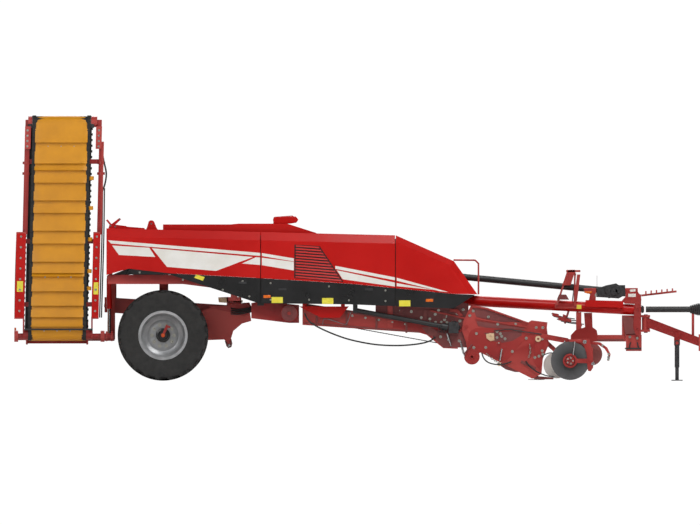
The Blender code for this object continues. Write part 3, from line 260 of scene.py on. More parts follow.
def turned(heap, profile, centre, axis="Y", sides=48, ripple=None):
    # a profile of (radius, along) pairs carried round a circle: point = centre + radius (cos t, sin t) + along
    t = np.arange(sides) * 2 * np.pi / sides
    r, along = np.array(profile, float).T
    radius = np.repeat(r[None], sides, 0)
    if ripple is not None:
        radius = radius + ripple(t[:, None], np.repeat(along[None], sides, 0))
    u, v, w = radius * np.cos(t)[:, None], np.repeat(along[None], sides, 0), radius * np.sin(t)[:, None]
    order = {"Y": (u, v, w), "X": (v, u, w), "Z": (u, w, v)}[axis]
    pts = np.stack(order, -1) + np.array(centre)
    heap.add(pts, gridFaces(sides, len(r), True, True))


def tube(heap, path, radius, sides=10, twist=0.0):
    # a circle of the given radius carried along the path, square to its direction; ends closed flat
    p = np.array(path, float)
    d = unit(np.gradient(p, axis=0))
    ref = np.where(np.abs(d[:, 1:2]) < 0.9, np.array([[0, 1.0, 0]]), np.array([[1.0, 0, 0]]))
    u = unit(np.cross(d, ref))
    v = np.cross(d, u)
    a = np.arange(sides) * 2 * np.pi / sides + twist
    r = np.broadcast_to(np.asarray(radius, float).reshape(-1, 1, 1), (len(p), 1, 1))
    pts = p[:, None] + r * (np.cos(a)[None, :, None] * u[:, None] + np.sin(a)[None, :, None] * v[:, None])
    n = len(p) * sides
    heap.add(pts, gridFaces(len(p), sides, False, True), [fanCap(0, sides, True), fanCap(n - sides, sides, False)])


def slab(heap, outline, low, high, axis="Y"):
    # an outline carried straight from low to high along one axis
    o = np.array(outline, float)
    t0, t1 = np.full(len(o), low), np.full(len(o), high)
    put = {"Y": lambda a, t: (a[:, 0], t, a[:, 1]), "X": lambda a, t: (t, a[:, 0], a[:, 1]),
           "Z": lambda a, t: (a[:, 0], a[:, 1], t)}[axis]
    pts = np.concatenate([np.stack(put(o, t0), -1), np.stack(put(o, t1), -1)])
    n = len(o)
    heap.add(pts, gridFaces(2, n, False, True), [fanCap(0, n, True), fanCap(n, n, False)])


def boxAt(heap, x, y, z):
    slab(heap, [(x[0], z[0]), (x[1], z[0]), (x[1], z[1]), (x[0], z[1])], y[0], y[1])


def bar(heap, ends, radius, sides=12):
    tube(heap, [(mx(x), y, z) for x, y, z in ends], radius, sides)


def bolts(heap, points, axis, size=0.024, proud=0.012):
    # hexagon heads with a washer below, one for each point, looking along the axis
    points = np.atleast_2d(np.array(points, float))
    k = "XYZ".index(axis[-1])
    sign = -1.0 if axis[0] == "-" else 1.0
    others = [i for i in range(3) if i != k]
    for sides, r, lift0, lift1 in ((12, size * 0.85, -0.002, 0.003), (6, size * 0.55, 0.0, proud)):
        a = np.arange(sides) * 2 * np.pi / sides
        ring = np.zeros((2, sides, 3))
        ring[..., others[0]] = r * np.cos(a)
        ring[..., others[1]] = r * np.sin(a)
        ring[0, :, k] = sign * lift0
        ring[1, :, k] = sign * lift1
        quads = gridFaces(2, sides, False, True)
        for p in points:
            heap.add(ring + p, quads, [fanCap(0, sides, True), fanCap(sides, sides, False)])


def curvePath(points, steps=8):
    # Catmull-Rom curve through the points
    p = np.array(points, float)
    p = np.concatenate([[2 * p[0] - p[1]], p, [2 * p[-1] - p[-2]]])
    t = (np.arange(steps) / steps)[:, None]
    out = []
    for a, b, c, d in zip(p[:-3], p[1:-2], p[2:-1], p[3:]):
        out.append(0.5 * (2 * b + (c - a) * t + (2 * a - 5 * b + 4 * c - d) * t ** 2 + (3 * b - a - 3 * c + d) * t ** 3))
    return np.concatenate(out + [p[-2:-1]])


# tyres
tyre = {"radius": 0.683, "lug": 0.030, "pitch": 22, "bead": 0.372, "sides": 264}


def tyreSurface(name, body, node):
    # radius = carcass arch across the width plus a lug wherever a slanted wave round the tread is high
    low, high = boxOf(node)
    half = (high[1] - low[1]) / 2
    mid = (low + high) / 2
    s = np.linspace(-1, 1, 61)
    arch = tyre["radius"] - tyre["lug"] - 0.012 * np.abs(s) ** 4
    shoulder = np.clip((np.abs(s) - 0.80) / 0.20, 0, 1)
    carcass = arch - (arch - tyre["bead"]) * (1 - np.sqrt(np.clip(1 - shoulder ** 2.2, 0, 1))) ** 1.0
    width = half * (0.965 * np.sin(np.clip(s / 0.86, -1, 1) * np.pi / 2) + 0.035 * np.sign(s) * (1 - shoulder))
    y = np.where(shoulder > 0,
                 np.sign(s) * half * (0.93 + 0.07 * np.sin(shoulder * np.pi)) - np.sign(s) * 0.06 * half * shoulder ** 6, width)
    y = np.clip(y, -half + 0.0005, half - 0.0005)
    t = np.arange(tyre["sides"]) * 2 * np.pi / tyre["sides"]
    T, S = np.meshgrid(t, s, indexing="ij")
    # chevron lugs: each half of the tread has its own row, half a pitch apart
    phase = T * tyre["pitch"] / (2 * np.pi) + np.where(S > 0, 0.5, 0.0) + 0.55 * np.abs(S)
    wave = np.abs((phase % 1.0) - 0.5) * 2
    lug = np.clip((0.42 - wave) / 0.10, 0, 1) * np.clip((1.02 - np.abs(S)) / 0.10, 0, 1)
    reach = np.where(np.abs(S) < 0.05, 0.6, 1.0) * np.clip((0.93 - shoulder[None]) / 0.3, 0, 1)
    R = carcass[None] + tyre["lug"] * lug * reach * np.clip((carcass[None] - 0.56) / 0.04, 0, 1)
    R = np.minimum(R, tyre["radius"])
    Y = np.repeat(y[None], len(t), 0)
    inner = np.full_like(R[:, :1], tyre["bead"] - 0.012)
    R = np.concatenate([R, inner, inner], 1)
    Y = np.concatenate([Y, np.full_like(inner, half * 0.80), np.full_like(inner, -half * 0.80)], 1)
    pts = np.stack([R * np.cos(T[:, :1]), Y, R * np.sin(T[:, :1])], -1) + mid
    heap = Heap()
    heap.add(pts, gridFaces(len(t), R.shape[1], True, True))
    return heap.build(name, tyreRubber, body, smooth=28, replaced=[node])


# wheels
wheel = {"flange": 0.382, "well": 0.345, "bolts": 10, "circle": 0.165}


def wheelSurface(name, body, node, out):
    # one turned profile: rolled flanges, drop-centre barrel and a dished disc with its hub
    low, high = boxOf("tyre_right" if out < 0 else "tyre_left")
    mid = (low + high) / 2
    h = (high[1] - low[1]) / 2 - 0.045
    f, w = wheel["flange"], wheel["well"]
    ring = [(w, -h + 0.03), (f, -h + 0.012), (f + 0.004, -h + 0.004), (f, -h), (w - 0.012, -h + 0.006),
            (w - 0.022, -h + 0.05), (w - 0.045, -0.10), (w - 0.045, 0.030), (0.24, 0.018), (0.19,
                0.040), (0.108, 0.040),
            (0.108, 0.052), (0.19, 0.052), (0.235, 0.034), (0.265, 0.044), (w - 0.045, 0.070), (w - 0.045, 0.14),
            (w - 0.022, h - 0.06), (w - 0.012, h - 0.006), (f, h), (f + 0.004, h - 0.004), (f, h - 0.012), (w,
                h - 0.03),
            (w - 0.004, h - 0.08), (w - 0.030, 0.12), (w - 0.030, -0.12), (w - 0.004, -h + 0.08)]
    heap = Heap()
    turned(heap, [(r, out * y) for r, y in ring], mid, sides=96)
    ob = heap.build(name, rimLacquer, body, replaced=[node])
    hub = Heap()
    cap = [(0.001, 0.150), (0.060, 0.150), (0.072, 0.140), (0.078, 0.118), (0.104, 0.112), (0.108, 0.10),
           (0.108, -0.085),
           (0.001, -0.085)]
    turned(hub, [(r, out * y) for r, y in cap], mid, sides=48)
    hub.build(name + "_hub", blackEnamel, body)
    badge = Heap()
    turned(badge, [(0.001, out * 0.160), (0.026, out * 0.160), (0.032, out * 0.1503), (0.001, out * 0.1503)],
           mid, sides=24)
    badge.build(name + "_cap", hubOrange, body)
    a = np.arange(wheel["bolts"]) * 2 * np.pi / wheel["bolts"]
    rows = np.stack([mid[0] + wheel["circle"] * np.cos(a), np.full(len(a), mid[1] + out * 0.052),
                     mid[2] + wheel["circle"] * np.sin(a)], -1)
    nuts = Heap()
    bolts(nuts, rows, "-Y" if out < 0 else "+Y", 0.034, 0.024)
    nuts.build(name + "_nuts", zincBolt, body)
    return ob


for sideName, out in (("right", -1), ("left", 1)):
    tyreSurface("tyre_tread_" + sideName, "wheel_" + sideName, "tyre_" + sideName)
    wheelSurface("rim_" + sideName, "wheel_" + sideName, "wheel_" + sideName, out)
print("stage: wheels done")

# unloading elevator

def loopLength(a, b, r):
    return 2 * math.dist(a, b) + 2 * np.pi * r


def loopPath(a, b, r, s):
    # points and outward normals at the distances s round two half circles of radius r joined by straight runs
    a, b = np.array(a, float), np.array(b, float)
    d = unit(b - a)
    side = np.array([d[1], -d[0]])
    run = np.linalg.norm(b - a)
    s = np.asarray(s, float)[:, None] % loopLength(a, b, r)
    t1, t2 = (s - run) / r, (s - 2 * run - np.pi * r) / r
    up = a + side * r + d * s
    over = b + r * (side * np.cos(t1) + d * np.sin(t1))
    down = b - side * r - d * (s - run - np.pi * r)
    under = a + r * (-side * np.cos(t2) - d * np.sin(t2))
    part = np.select([s < run, s < run + np.pi * r, s < 2 * run + np.pi * r], [0, 1, 2], 3)
    pos = np.where(part == 0, up, np.where(part == 1, over, np.where(part == 2, down, under)))
    nor = np.where(part == 0, side, np.where(part == 1, over - b, np.where(part == 2, -side, under - a)))
    return pos, unit(nor)


flights = {"lips": (3.587, 3.271, 3.170, 2.982, 2.715, 2.527, 2.259, 2.066, 1.792, 1.620, 1.571, 1.346, 1.130,
           0.956, 0.813),
           "tuck": 0.045, "thick": 0.004, "stand": 0.046, "rivet": 0.014}


def flightSurface(heap, xs, start, end, foot, head, r):
    # a sheet that lies on the belt: its lift off the belt grows with the cube of the way to its free lip,
    # and its two ends turn down a little towards the side belts
    u = np.linspace(0, 1, 22)
    pos, nor = loopPath(foot, head, r, start + u * (end - start))
    straight = np.clip((head[1] + 0.02 - pos[:, 1]) / 0.25, 0.04, 1) * np.clip((pos[:, 1] - foot[1]) / 0.25, 0, 1)
    c = np.linspace(-1, 1, 29)
    lift = -0.0135 + flights["stand"] * u ** 1.7 * straight
    lay = lift[:, None] - 0.012 * u[:, None] * np.abs(c[None]) ** 12
    grid = []
    for down in (0.0, flights["thick"]):
        off = lay - down
        grid.append(np.stack([np.repeat((xs[0] + (c + 1) / 2 * (xs[1] - xs[0]))[None], len(u), 0),
                              pos[:, :1] + nor[:, :1] * off, pos[:, 1:] + nor[:, 1:] * off], -1).reshape(-1, 3))
    rows, cols = len(u), len(c)
    sheet = gridFaces(rows, cols, False, False)
    n = rows * cols
    rim = np.concatenate([np.arange(cols - 1), np.arange(cols - 1, n - 1, cols), np.arange(n - 1, n - cols, -1),
                          np.arange(n - cols, 0, -cols)])
    nxt = np.roll(rim, -1)
    heap.add(np.concatenate(grid), np.concatenate([sheet, sheet[:, ::-1] + n, np.stack([rim, nxt, nxt + n,
             rim + n], -1)]))


def elevatorBelt():
    low, high = boxOf("elevator_belt")
    yMid, r = (low[1] + high[1]) / 2, (high[1] - low[1]) / 2
    foot, head = (yMid, low[2] + r), (yMid, high[2] - r)
    x0, x1 = low[0], high[0] - leanAt(high[2])
    base = Heap(leans=True)
    # the two toothed side belts and the sheet between them: a loop profile carried across its own width
    n = 480
    pos, nor = loopPath(foot, head, r, np.arange(n) / n * loopLength(foot, head, r))
    tooth = np.where(np.arange(n) % 6 < 3, 0.0, 0.0045)[:, None]
    for a, b, lift in ((x0 - 0.012, x0 + 0.040, tooth - 0.004), (x1 - 0.040, x1 + 0.012, tooth - 0.004),
                       (x0 + 0.040, x1 - 0.040, np.full((n, 1), -0.015))):
        rows = [pos + nor * (lift - 0.001), pos + nor * (lift - 0.001), pos - nor * 0.019, pos - nor * 0.019]
        pts = np.stack([np.stack([np.full(n, x), q[:, 0], q[:, 1]], -1) for q, x in zip(rows, (a, b, b, a))], 1)
        base.add(pts, gridFaces(n, 4, True, True))
    base.build("belt_edges", blackRubber, "elevator", replaced=["elevator_belt"])
    sheets, rivets = Heap(leans=True), Heap(leans=True)
    run = head[1] - foot[1]
    rising = [z - foot[1] + 0.11 for z in flights["lips"][1:]]
    lips = sorted(rising + [run + np.pi * r + head[1] - z for z in flights["lips"]])
    lips = [lips[-1] - loopLength(foot, head, r)] + lips
    for k, (before, lip) in enumerate(zip(lips, lips[1:])):
        flightSurface(sheets, (x0 + 0.030, x1 - 0.030), before - flights["tuck"], lip, foot, head, r)
        if k % 3 == 0 or lip - before > 0.30:
            pos, nor = loopPath(foot, head, r, [before + 0.06])
            if abs(nor[0][0]) > 0.9:
                xs = x0 + (x1 - x0) * np.array([0.27, 0.5, 0.73])
                bolts(rivets, [(x, pos[0][0] + nor[0][0] * -0.0115, pos[0][1]) for x in xs],
                      "-Y" if nor[0][0] < 0 else "+Y", flights["rivet"], 0.004)
    sheets.build("belt_flights", beltRubber, "elevator", smooth=50)
    rivets.build("flight_rivets", zincBolt, "elevator")
    return x0, x1, foot, head, r


def elevatorTrim():
    x0, x1, _, head, _ = elevatorBelt()
    chain = Heap(leans=True)
    # chain wheels beside the head roller: radius = mean plus a tooth wave
    for x in (x0 - 0.022, x1 + 0.012):
        turned(chain, [(0.030, 0.0), (0.086, 0.0), (0.086, 0.010), (0.030, 0.010)], (x, head[0], head[1]), "X", 96,
               lambda t, a: 0.006 * np.sign(np.sin(24 * t)) * (a > -1))
    chain.build("chain_wheels", discSteel, "elevator")
    front = head[0] - 0.105
    sheets = Heap(leans=True)
    for xa, xb in ((x0 - 0.215, x0 - 0.075), (x1 + 0.095, x1 + 0.195)):
        # folded edge plates on the lower side beams
        slab(sheets, [(xa, 0.95), (xb, 0.95), (xb, 2.20), (xb - 0.02, 2.22), (xa + 0.02, 2.22), (xa, 2.20)],
             front - 0.004, front + 0.004)
    sheets.build("side_cover_plates", redEnamel, "elevator", bevel=0.002)
    straps = Heap(leans=True)
    for x in (x0 - 0.09, x1 + 0.185):
        for z in (3.12, 3.28):
            turned(straps, [(0.020, -0.02), (0.060, -0.02), (0.060, 0.02), (0.020, 0.02)], (x, head[0], z), "Z", 24)
    straps.build("tube_clamps", frameEnamel, "elevator", bevel=0.002)
    rollers = Heap(leans=True)
    for z in (1.39, 1.65, 2.13, 2.60, 3.05):
        turned(rollers, [(0.010, -0.03), (0.034, -0.03), (0.038, -0.02), (0.038, 0.02), (0.034, 0.03), (0.010, 0.03)],
               (x1 + 0.042, head[0] - 0.06, z), "Z", 20)
    rollers.build("guide_rollers", beltRubber, "elevator")
    pins = Heap(leans=True)
    spots = []
    for xa in (x0 - 0.145, x1 + 0.145):
        spots += [(xa, front - 0.005, z) for z in np.arange(1.05, 2.2, 0.16)]
    for xa in (x0 - 0.085, x1 + 0.14):
        spots += [(xa, head[0] - 0.1005, z) for z in (3.53, 3.61, 3.69, 3.77)]
    bolts(pins, spots, "-Y", 0.020, 0.010)
    pins.build("elevator_bolts", zincBolt, "elevator")
    blocks = Heap(leans=True)
    for x in (x0 - 0.05, x1 + 0.035):
        boxAt(blocks, (x - 0.03, x + 0.03), (head[0] - 0.075, head[0] + 0.075), (head[1] - 0.095, head[1] + 0.005))
    blocks.build("head_bearings", castGrey, "elevator", bevel=0.006)
    loops = Heap(leans=True)
    hoseX = x1 + 0.245
    tube(loops, curvePath([(x1 + 0.20, head[0] + 0.02, 3.42), (hoseX - 0.02, head[0] - 0.03, 3.30),
         (hoseX + 0.02, head[0] - 0.05, 3.12),
                           (hoseX, head[0] - 0.05, 2.95), (hoseX - 0.05, head[0] - 0.02, 2.82)], 8), 0.013, 10)
    for dx in (0.0, 0.028):
        tube(loops, curvePath([(x1 + 0.215 + dx, head[0] + 0.06, 2.9), (x1 + 0.222 + dx, head[0] + 0.07, 2.2),
             (x1 + 0.218 + dx, head[0] + 0.07, 1.4),
                               (x1 + 0.215 + dx, head[0] + 0.06, 0.95)], 10), 0.010, 8)
        tube(loops, curvePath([(x0 - 0.212 + dx, head[0] + 0.115, 2.1), (x0 - 0.216 + dx, head[0] + 0.12, 1.6),
                               (x0 - 0.212 + dx, head[0] + 0.115, 1.0)], 10), 0.009, 8)
    loops.build("elevator_hoses", hoseRubber, "elevator")
    label = Heap(leans=True)
    boxAt(label, (x0 - 0.19, x0 - 0.10), (front - 0.0055, front - 0.0035), (1.34, 1.50))
    boxAt(label, (x1 + 0.115, x1 + 0.185), (front - 0.0055, front - 0.0035), (1.30, 1.48))
    label.build("elevator_labels", stickerYellow, "elevator")


elevatorTrim()


def elevatorSides():
    # black edge boards beside the belt with drive teeth, and the guard bar across its foot
    heap = Heap(leans=True)
    for x, out in ((-2.020, -1), (-1.200, 1)):
        a, b = sorted((x + out * 0.004, x + out * 0.062))
        boxAt(heap, [mx(a), mx(b)], [-1.250, -1.236], [0.72, 3.86])
        for z in np.arange(0.80, 3.80, 0.085):
            c, d = sorted((x + out * 0.062, x + out * 0.078))
            boxAt(heap, [mx(c), mx(d)], [-1.250, -1.238], [z, z + 0.036])
    heap.build("elevator_edge_boards", blackRubber, "elevator", bevel=0.002)
    foot = Heap(leans=True)
    bar(foot, [(-2.08, -1.375, 0.772), (-1.06, -1.375, 0.772)], 0.014)
    for x in (-2.07, -1.07):
        boxAt(foot, [mx(x - 0.012), mx(x + 0.012)], [-1.375, -1.24], [0.755, 0.79])
    foot.build("elevator_foot_bar", castGrey, "elevator", bevel=0.002)


elevatorSides()


def fixedConveyor():
    # the crosswise belt: one thin band carried round its loop
    low, high = boxOf("cross_conveyor_belt")
    heap = Heap()
    r = (high[2] - low[2]) / 2
    n = 200
    ends = (low[1] + r, low[2] + r), (high[1] - r, low[2] + r)
    pos, nor = loopPath(*ends, r, np.arange(n) / n * loopLength(*ends, r))
    rows = [pos, pos, pos - nor * 0.012, pos - nor * 0.012]
    xs = [low[0], high[0], high[0], low[0]]
    heap.add(np.stack([np.stack([np.full(n, x), q[:, 0], q[:, 1]], -1) for q, x in zip(rows, xs)], 1),
             gridFaces(n, 4, True, True))
    heap.build("cross_belt", beltRubber, "chassis", replaced=["cross_conveyor_belt"])
    lamps = Heap()
    frameLow = boxOf("cross_conveyor_frame")[0]
    for y in (-0.84, 0.98):
        boxAt(lamps, (frameLow[0] + 0.001, frameLow[0] + 0.03), (y - 0.06, y + 0.06), (0.72, 0.80))
    lamps.build("rear_lamps", lampOrange, "chassis", bevel=0.006)


fixedConveyor()
print("stage: elevator done")


# stripes, louvre and labels on the sides
stripes = {"proud": 0.0014, "rear": [
    # each outline runs round one painted area, in metres ahead of the axle and above the ground
    [(-0.830, 2.115), (1.462, 1.925), (1.462, 1.880), (-0.780, 2.065)],
    [(-0.766, 2.036), (-0.206, 2.002), (-0.116, 1.863), (-0.663, 1.893)],
    [(-0.167, 1.996), (1.355, 1.863), (0.800, 1.654), (0.060, 1.714)],
    [(1.190, 1.765), (1.402, 1.861), (1.462, 1.855), (1.462, 1.743)]], "middle": [
    [(1.490, 1.922), (1.970, 1.842), (1.970, 1.796), (1.490, 1.878)],
    [(1.490, 1.852), (1.970, 1.790), (1.970, 1.660), (1.490, 1.740)],
    [(2.595, 1.730), (3.492, 1.556), (3.492, 1.512), (2.595, 1.684)],
    [(2.618, 1.664), (3.492, 1.477), (3.492, 1.418), (2.706, 1.528)]], "nose": [
    [(3.520, 1.550), (4.300, 1.335), (4.180, 1.345), (3.520, 1.506)],
    [(3.520, 1.470), (4.090, 1.366), (3.520, 1.424)]]}


def paintedStripes():
    for sideName, out in (("right", -1), ("left", 1)):
        for panel, body in (("rear", "rear_door_" + sideName), ("middle", "middle_door_" + sideName), ("nose",
                            "chassis")):
            heap = Heap()
            y = out * abs(sideY)
            y0, y1 = sorted((y - out * 0.0004, y + out * stripes["proud"]))
            for outline in stripes[panel]:
                slab(heap, [(mx(x), z) for x, z in outline], y0, y1)
            heap.build(f"white_stripes_{panel}_{sideName}", whiteEnamel, body)


paintedStripes()

louvre = {"corners": [(1.980, 2.050), (2.360, 2.026), (2.720, 1.485), (1.976, 1.545)], "slats": 12}


def louvreGrille(sideName, out):
    # slats step down between the two slanted edges; each is a strip leaning outwards at its lower lip
    c = np.array(louvre["corners"])
    y = out * abs(sideY)
    # black sheet behind the slats: painted shade of the dark inside seen between them
    back = Heap()
    y0, y1 = sorted((y - out * 0.001, y + out * 0.002))
    slab(back, [(mx(x), z) for x, z in c], y0, y1)
    back.build("louvre_shade_panel_" + sideName, blackEnamel, "middle_door_" + sideName)
    heap = Heap()
    for k in range(louvre["slats"]):
        f0, f1 = (k + 0.18) / louvre["slats"], (k + 0.72) / louvre["slats"]
        spots = [(c[0] + (c[3] - c[0]) * f, c[1] + (c[2] - c[1]) * f) for f in (f0, f1)]
        (a0, b0), (a1, b1) = spots
        a0, a1 = a0 + [0.02, 0], a1 + [0.02, 0]
        b0, b1 = b0 - [0.02, 0], b1 - [0.02, 0]
        def ring(p, q):
            return [(mx(p[0]), y + out * 0.001, p[1]), (mx(q[0]), y + out * 0.012, q[1]), (mx(q[0]),
                    y + out * 0.001, q[1] - 0.004)]

        pts = np.array(ring(a0, a1) + ring(b0, b1))
        heap.add(pts, gridFaces(2, 3, False, True), [[2, 1, 0], [3, 4, 5]])
    heap.build("louvre_slats_" + sideName, redEnamel, "middle_door_" + sideName)


def sideTrim(sideName, out):
    y = out * abs(sideY)
    axis = "-Y" if out < 0 else "+Y"
    heap = Heap()
    spots = [(mx(x), y - out * 0.004, z) for x, z in ((0.30, 1.52), (0.9, 1.37), (1.30, 1.27), (-0.35, 1.63),
             (0.5, 1.58), (1.2, 1.50))]
    bolts(heap, spots, axis, 0.018, 0.007)
    heap.build("rear_band_bolts_" + sideName, zincBolt, "rear_door_" + sideName)
    heap = Heap()
    spots = [(mx(x), y - out * 0.004, z) for x, z in ((1.62, 1.22), (2.2, 1.22), (2.8, 1.21), (3.35, 1.20),
             (1.62, 1.47), (2.5, 1.42), (3.35, 1.36))]
    bolts(heap, spots, axis, 0.018, 0.007)
    heap.build("middle_band_bolts_" + sideName, zincBolt, "middle_door_" + sideName)
    for body, xs in (("rear_door_", (1.20,)), ("middle_door_", (1.80, 3.10))):
        part = Heap()
        for x in xs:
            z = 1.46 if x < 1.5 else 1.36
            y0, y1 = sorted((y - out * 0.004, y + out * 0.010))
            slab(part, [(mx(x) - 0.06, z), (mx(x) + 0.06, z - 0.004), (mx(x) + 0.06, z + 0.03), (mx(x) - 0.06,
                 z + 0.034)], y0, y1)
            turned(part, [(0.004, -0.006), (0.020, -0.006), (0.020, out * 0.014 + 0.002), (0.004,
                   out * 0.014 + 0.002)], (mx(x) + 0.035, y, z + 0.015), "Y", 18)
        part.build("door_latches_" + body + sideName, castGrey, body + sideName, bevel=0.003)
    y0, y1 = sorted((y - out * 0.0045, y - out * 0.0025))
    for x, z, body in ((1.72, 1.215, "middle_door_"), (2.48, 1.20, "middle_door_"), (3.64, 1.165, "chassis")):
        part = Heap()
        slab(part, [(mx(x) - 0.085, z - 0.045), (mx(x) + 0.085, z - 0.045), (mx(x) + 0.085, z + 0.045),
             (mx(x) - 0.085, z + 0.045)], y0, y1)
        part.build(f"blank_label_{round(x * 100)}_{sideName}", stickerYellow,
                   body + sideName if body != "chassis" else body)
    part = Heap()
    y0, y1 = sorted((y - out * 0.0005, y + out * 0.0015))
    slab(part, [(mx(0.47), 1.49 + 0.06), (mx(0.60), 1.445 + 0.06), (mx(0.63), 1.56), (mx(0.50), 1.60)], y0, y1)
    part.build("blank_label_rear_" + sideName, stickerYellow, "rear_door_" + sideName)
    for x, z, body in ((1.566, 1.268, "middle_door_"), (4.013, 1.210, "chassis")):
        part = Heap()
        y0, y1 = sorted((y - out * 0.005, y + out * 0.012))
        slab(part, [(mx(x) - 0.055, z - 0.022), (mx(x) + 0.055, z - 0.022), (mx(x) + 0.055, z + 0.022),
             (mx(x) - 0.055, z + 0.022)], y0, y1)
        part.build(f"side_lamp_{round(x * 100)}_{sideName}", lampOrange,
                   body + sideName if body != "chassis" else body, bevel=0.005)


for sideName, out in (("right", -1), ("left", 1)):
    louvreGrille(sideName, out)
    sideTrim(sideName, out)
print("stage: sides done")


# the hose that hangs free under the middle door
freeHose = {"diameter": 0.024, "route": (
    (2.130, -1.3325, 1.020), (2.20, -1.3325, 0.900), (2.35, -1.3325, 0.800), (2.60, -1.3325, 0.690), (2.85,
        -1.330, 0.610),
    (3.20, -1.325, 0.545), (3.55, -1.310, 0.530), (3.85, -1.280, 0.555), (4.02, -1.258, 0.600), (4.10, -1.2528,
        0.660))}


def hangingHose():
    path = curvePath([(mx(x), y, z) for x, y, z in freeHose["route"]], 5)
    line = bpy.data.curves.new("hanging_hose", "CURVE")
    line.dimensions = "3D"
    line.bevel_depth = freeHose["diameter"] / 2
    line.bevel_resolution = 4
    line.use_fill_caps = True
    spline = line.splines.new("POLY")
    spline.points.add(len(path) - 1)
    spline.points.foreach_set("co", np.concatenate([path, np.ones((len(path), 1))], 1).ravel())
    line.materials.append(hoseRubber)
    hose = bpy.data.objects.new("hanging_hose", line)
    bpy.context.scene.collection.objects.link(hose)
    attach(hose, "chassis")
    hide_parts("hose_loop")


hangingHose()
print("stage: hose done")

# webs of round rods on rubber belts
webs = {"rod": 0.0055, "pitch": 0.042, "belt": 0.058,
        "loops": {"sieve_web": ("chassis", 0.105), "digging_web": ("digger", 0.085), "rear_web": ("chassis", 0.090)}}


def rodWeb(node, body, r):
    low, high = boxOf(node)
    ends = (low[0] + r, high[2] - r), (high[0] - r, low[2] + r)
    total = loopLength(*ends, r)
    count = int(total / webs["pitch"])
    pos, _ = loopPath(*ends, r - 0.007, np.arange(count) / count * loopLength(*ends, r - 0.007))
    rods = Heap()
    for x, z in pos:
        tube(rods, [(x, low[1] + 0.004, z), (x, high[1] - 0.004, z)], webs["rod"], 8)
    rods.build(node + "_rods", barSteel, body, replaced=[node])
    belts = Heap()
    n = count * 2
    pos, nor = loopPath(*ends, r, np.arange(n) / n * total)
    lift = np.where(np.arange(n) % 2 == 0, -0.0005, -0.004)[:, None]
    for y in (low[1] + 0.030, (low[1] + high[1]) / 2, high[1] - 0.030):
        y0, y1 = y - webs["belt"] / 2, y + webs["belt"] / 2
        rows = [pos + nor * lift, pos + nor * lift, pos - nor * 0.0155, pos - nor * 0.0155]
        pts = np.stack([np.stack([q[:, 0], np.full(n, v), q[:, 1]], -1) for q, v in zip(rows, (y0, y1, y1, y0))], 1)
        belts.add(pts, gridFaces(n, 4, True, True))
    belts.build(node + "_belts", blackRubber, body)


for node, (body, r) in webs["loops"].items():
    rodWeb(node, body, r)
print("stage: webs done")


# helpers for plates and small parts in the machine's own coordinates
def plate(heap, outline, y0, y1):
    slab(heap, [(mx(x), z) for x, z in outline], y0, y1)


def flat(name, mat, body, outlines, y0, y1, bevel=0.0015):
    heap = Heap()
    for outline in outlines:
        plate(heap, outline, y0, y1)
    return heap.build(name, mat, body, bevel=bevel)


def ringAt(heap, x, y, z, inner, outer, depth, sides=32):
    turned(heap, [(inner, -depth / 2), (outer, -depth / 2), (outer, depth / 2), (inner, depth / 2)], (mx(x), y,
           z), "Y", sides)


def spring(heap, start, end, radius, wire, turns):
    # helix of the given radius about the line from start to end
    a, b = np.array([mx(start[0]), *start[1:]]), np.array([mx(end[0]), *end[1:]])
    t = np.linspace(0, 1, turns * 12 + 1)[:, None]
    d = unit((b - a)[None])[0]
    u = unit(np.cross(d, [0, 1.0, 0])[None])[0]
    v = np.cross(d, u)
    angle = t * turns * 2 * np.pi
    tube(heap, a + (b - a) * t + radius * (np.cos(angle) * u + np.sin(angle) * v), wire, 6)


def chainRun(heap, path, link=0.030, wire=0.0045):
    # oval links along a path, each a quarter turn from the last: the smooth path is stepped at a link's pitch
    p = curvePath([(mx(x), y, z) for x, y, z in path], 24)
    s = np.concatenate([[0], np.cumsum(np.linalg.norm(np.diff(p, axis=0), axis=1))])
    spots = np.arange(link, s[-1] - link, link * 1.1)
    a = np.arange(13) / 12 * 2 * np.pi
    for k, at in enumerate(spots):
        c = np.array([np.interp(at, s, p[:, i]) for i in range(3)])
        e = np.array([np.interp(at + 0.004, s, p[:, i]) for i in range(3)])
        d = unit((e - c)[None])[0]
        side = unit(np.cross(d, [0.1, 1.0, 0.1])[None])[0] if k % 2 else np.array([0, 1.0, 0])
        side = unit((side - d * (side @ d))[None])[0]
        tube(heap, c + np.cos(a)[:, None] * d * link * 0.72 + np.sin(a)[:, None] * side * link * 0.36, wire, 6)


# digging unit
digger = {"face": boxOf("digging_web")[0][1] - 0.095,
    # outlines in metres ahead of the axle and above the ground
    "hook": [(4.60, 0.68), (4.63, 0.75), (4.71, 0.79), (5.20, 0.805), (5.49, 0.80), (5.47, 0.68), (5.37, 0.53),
             (5.26, 0.39),
             (5.15, 0.28), (5.00, 0.35), (4.80, 0.44), (4.74, 0.40), (4.65, 0.44), (4.60, 0.56)],
    "cheek": [(5.52, 0.66), (5.56, 0.90), (5.78, 0.87), (5.77, 0.76), (5.735, 0.66), (5.79, 0.60), (5.79, 0.53),
              (5.70, 0.30),
              (5.69, 0.14), (5.58, 0.28), (5.61, 0.59)],
    "shade": [(4.83, 0.72), (5.20, 0.74), (5.41, 0.775), (5.40, 0.68), (5.26, 0.60), (5.11, 0.57), (4.95, 0.60)],
    "bolts": [(5.03, 0.74), (5.08, 0.71), (5.10, 0.67), (5.03, 0.65), (5.15, 0.63), (5.05, 0.57), (5.26, 0.44),
              (5.47, 0.64),
              (5.60, 0.35), (5.66, 0.37), (5.71, 0.45), (5.72, 0.40), (5.71, 0.63), (5.62, 0.80), (5.72,
                  0.80), (4.72, 0.71),
              (4.68, 0.50), (4.86, 0.50), (4.90, 0.96), (5.04, 0.85), (5.31, 0.85), (4.67, 1.05), (4.62, 0.98)]}


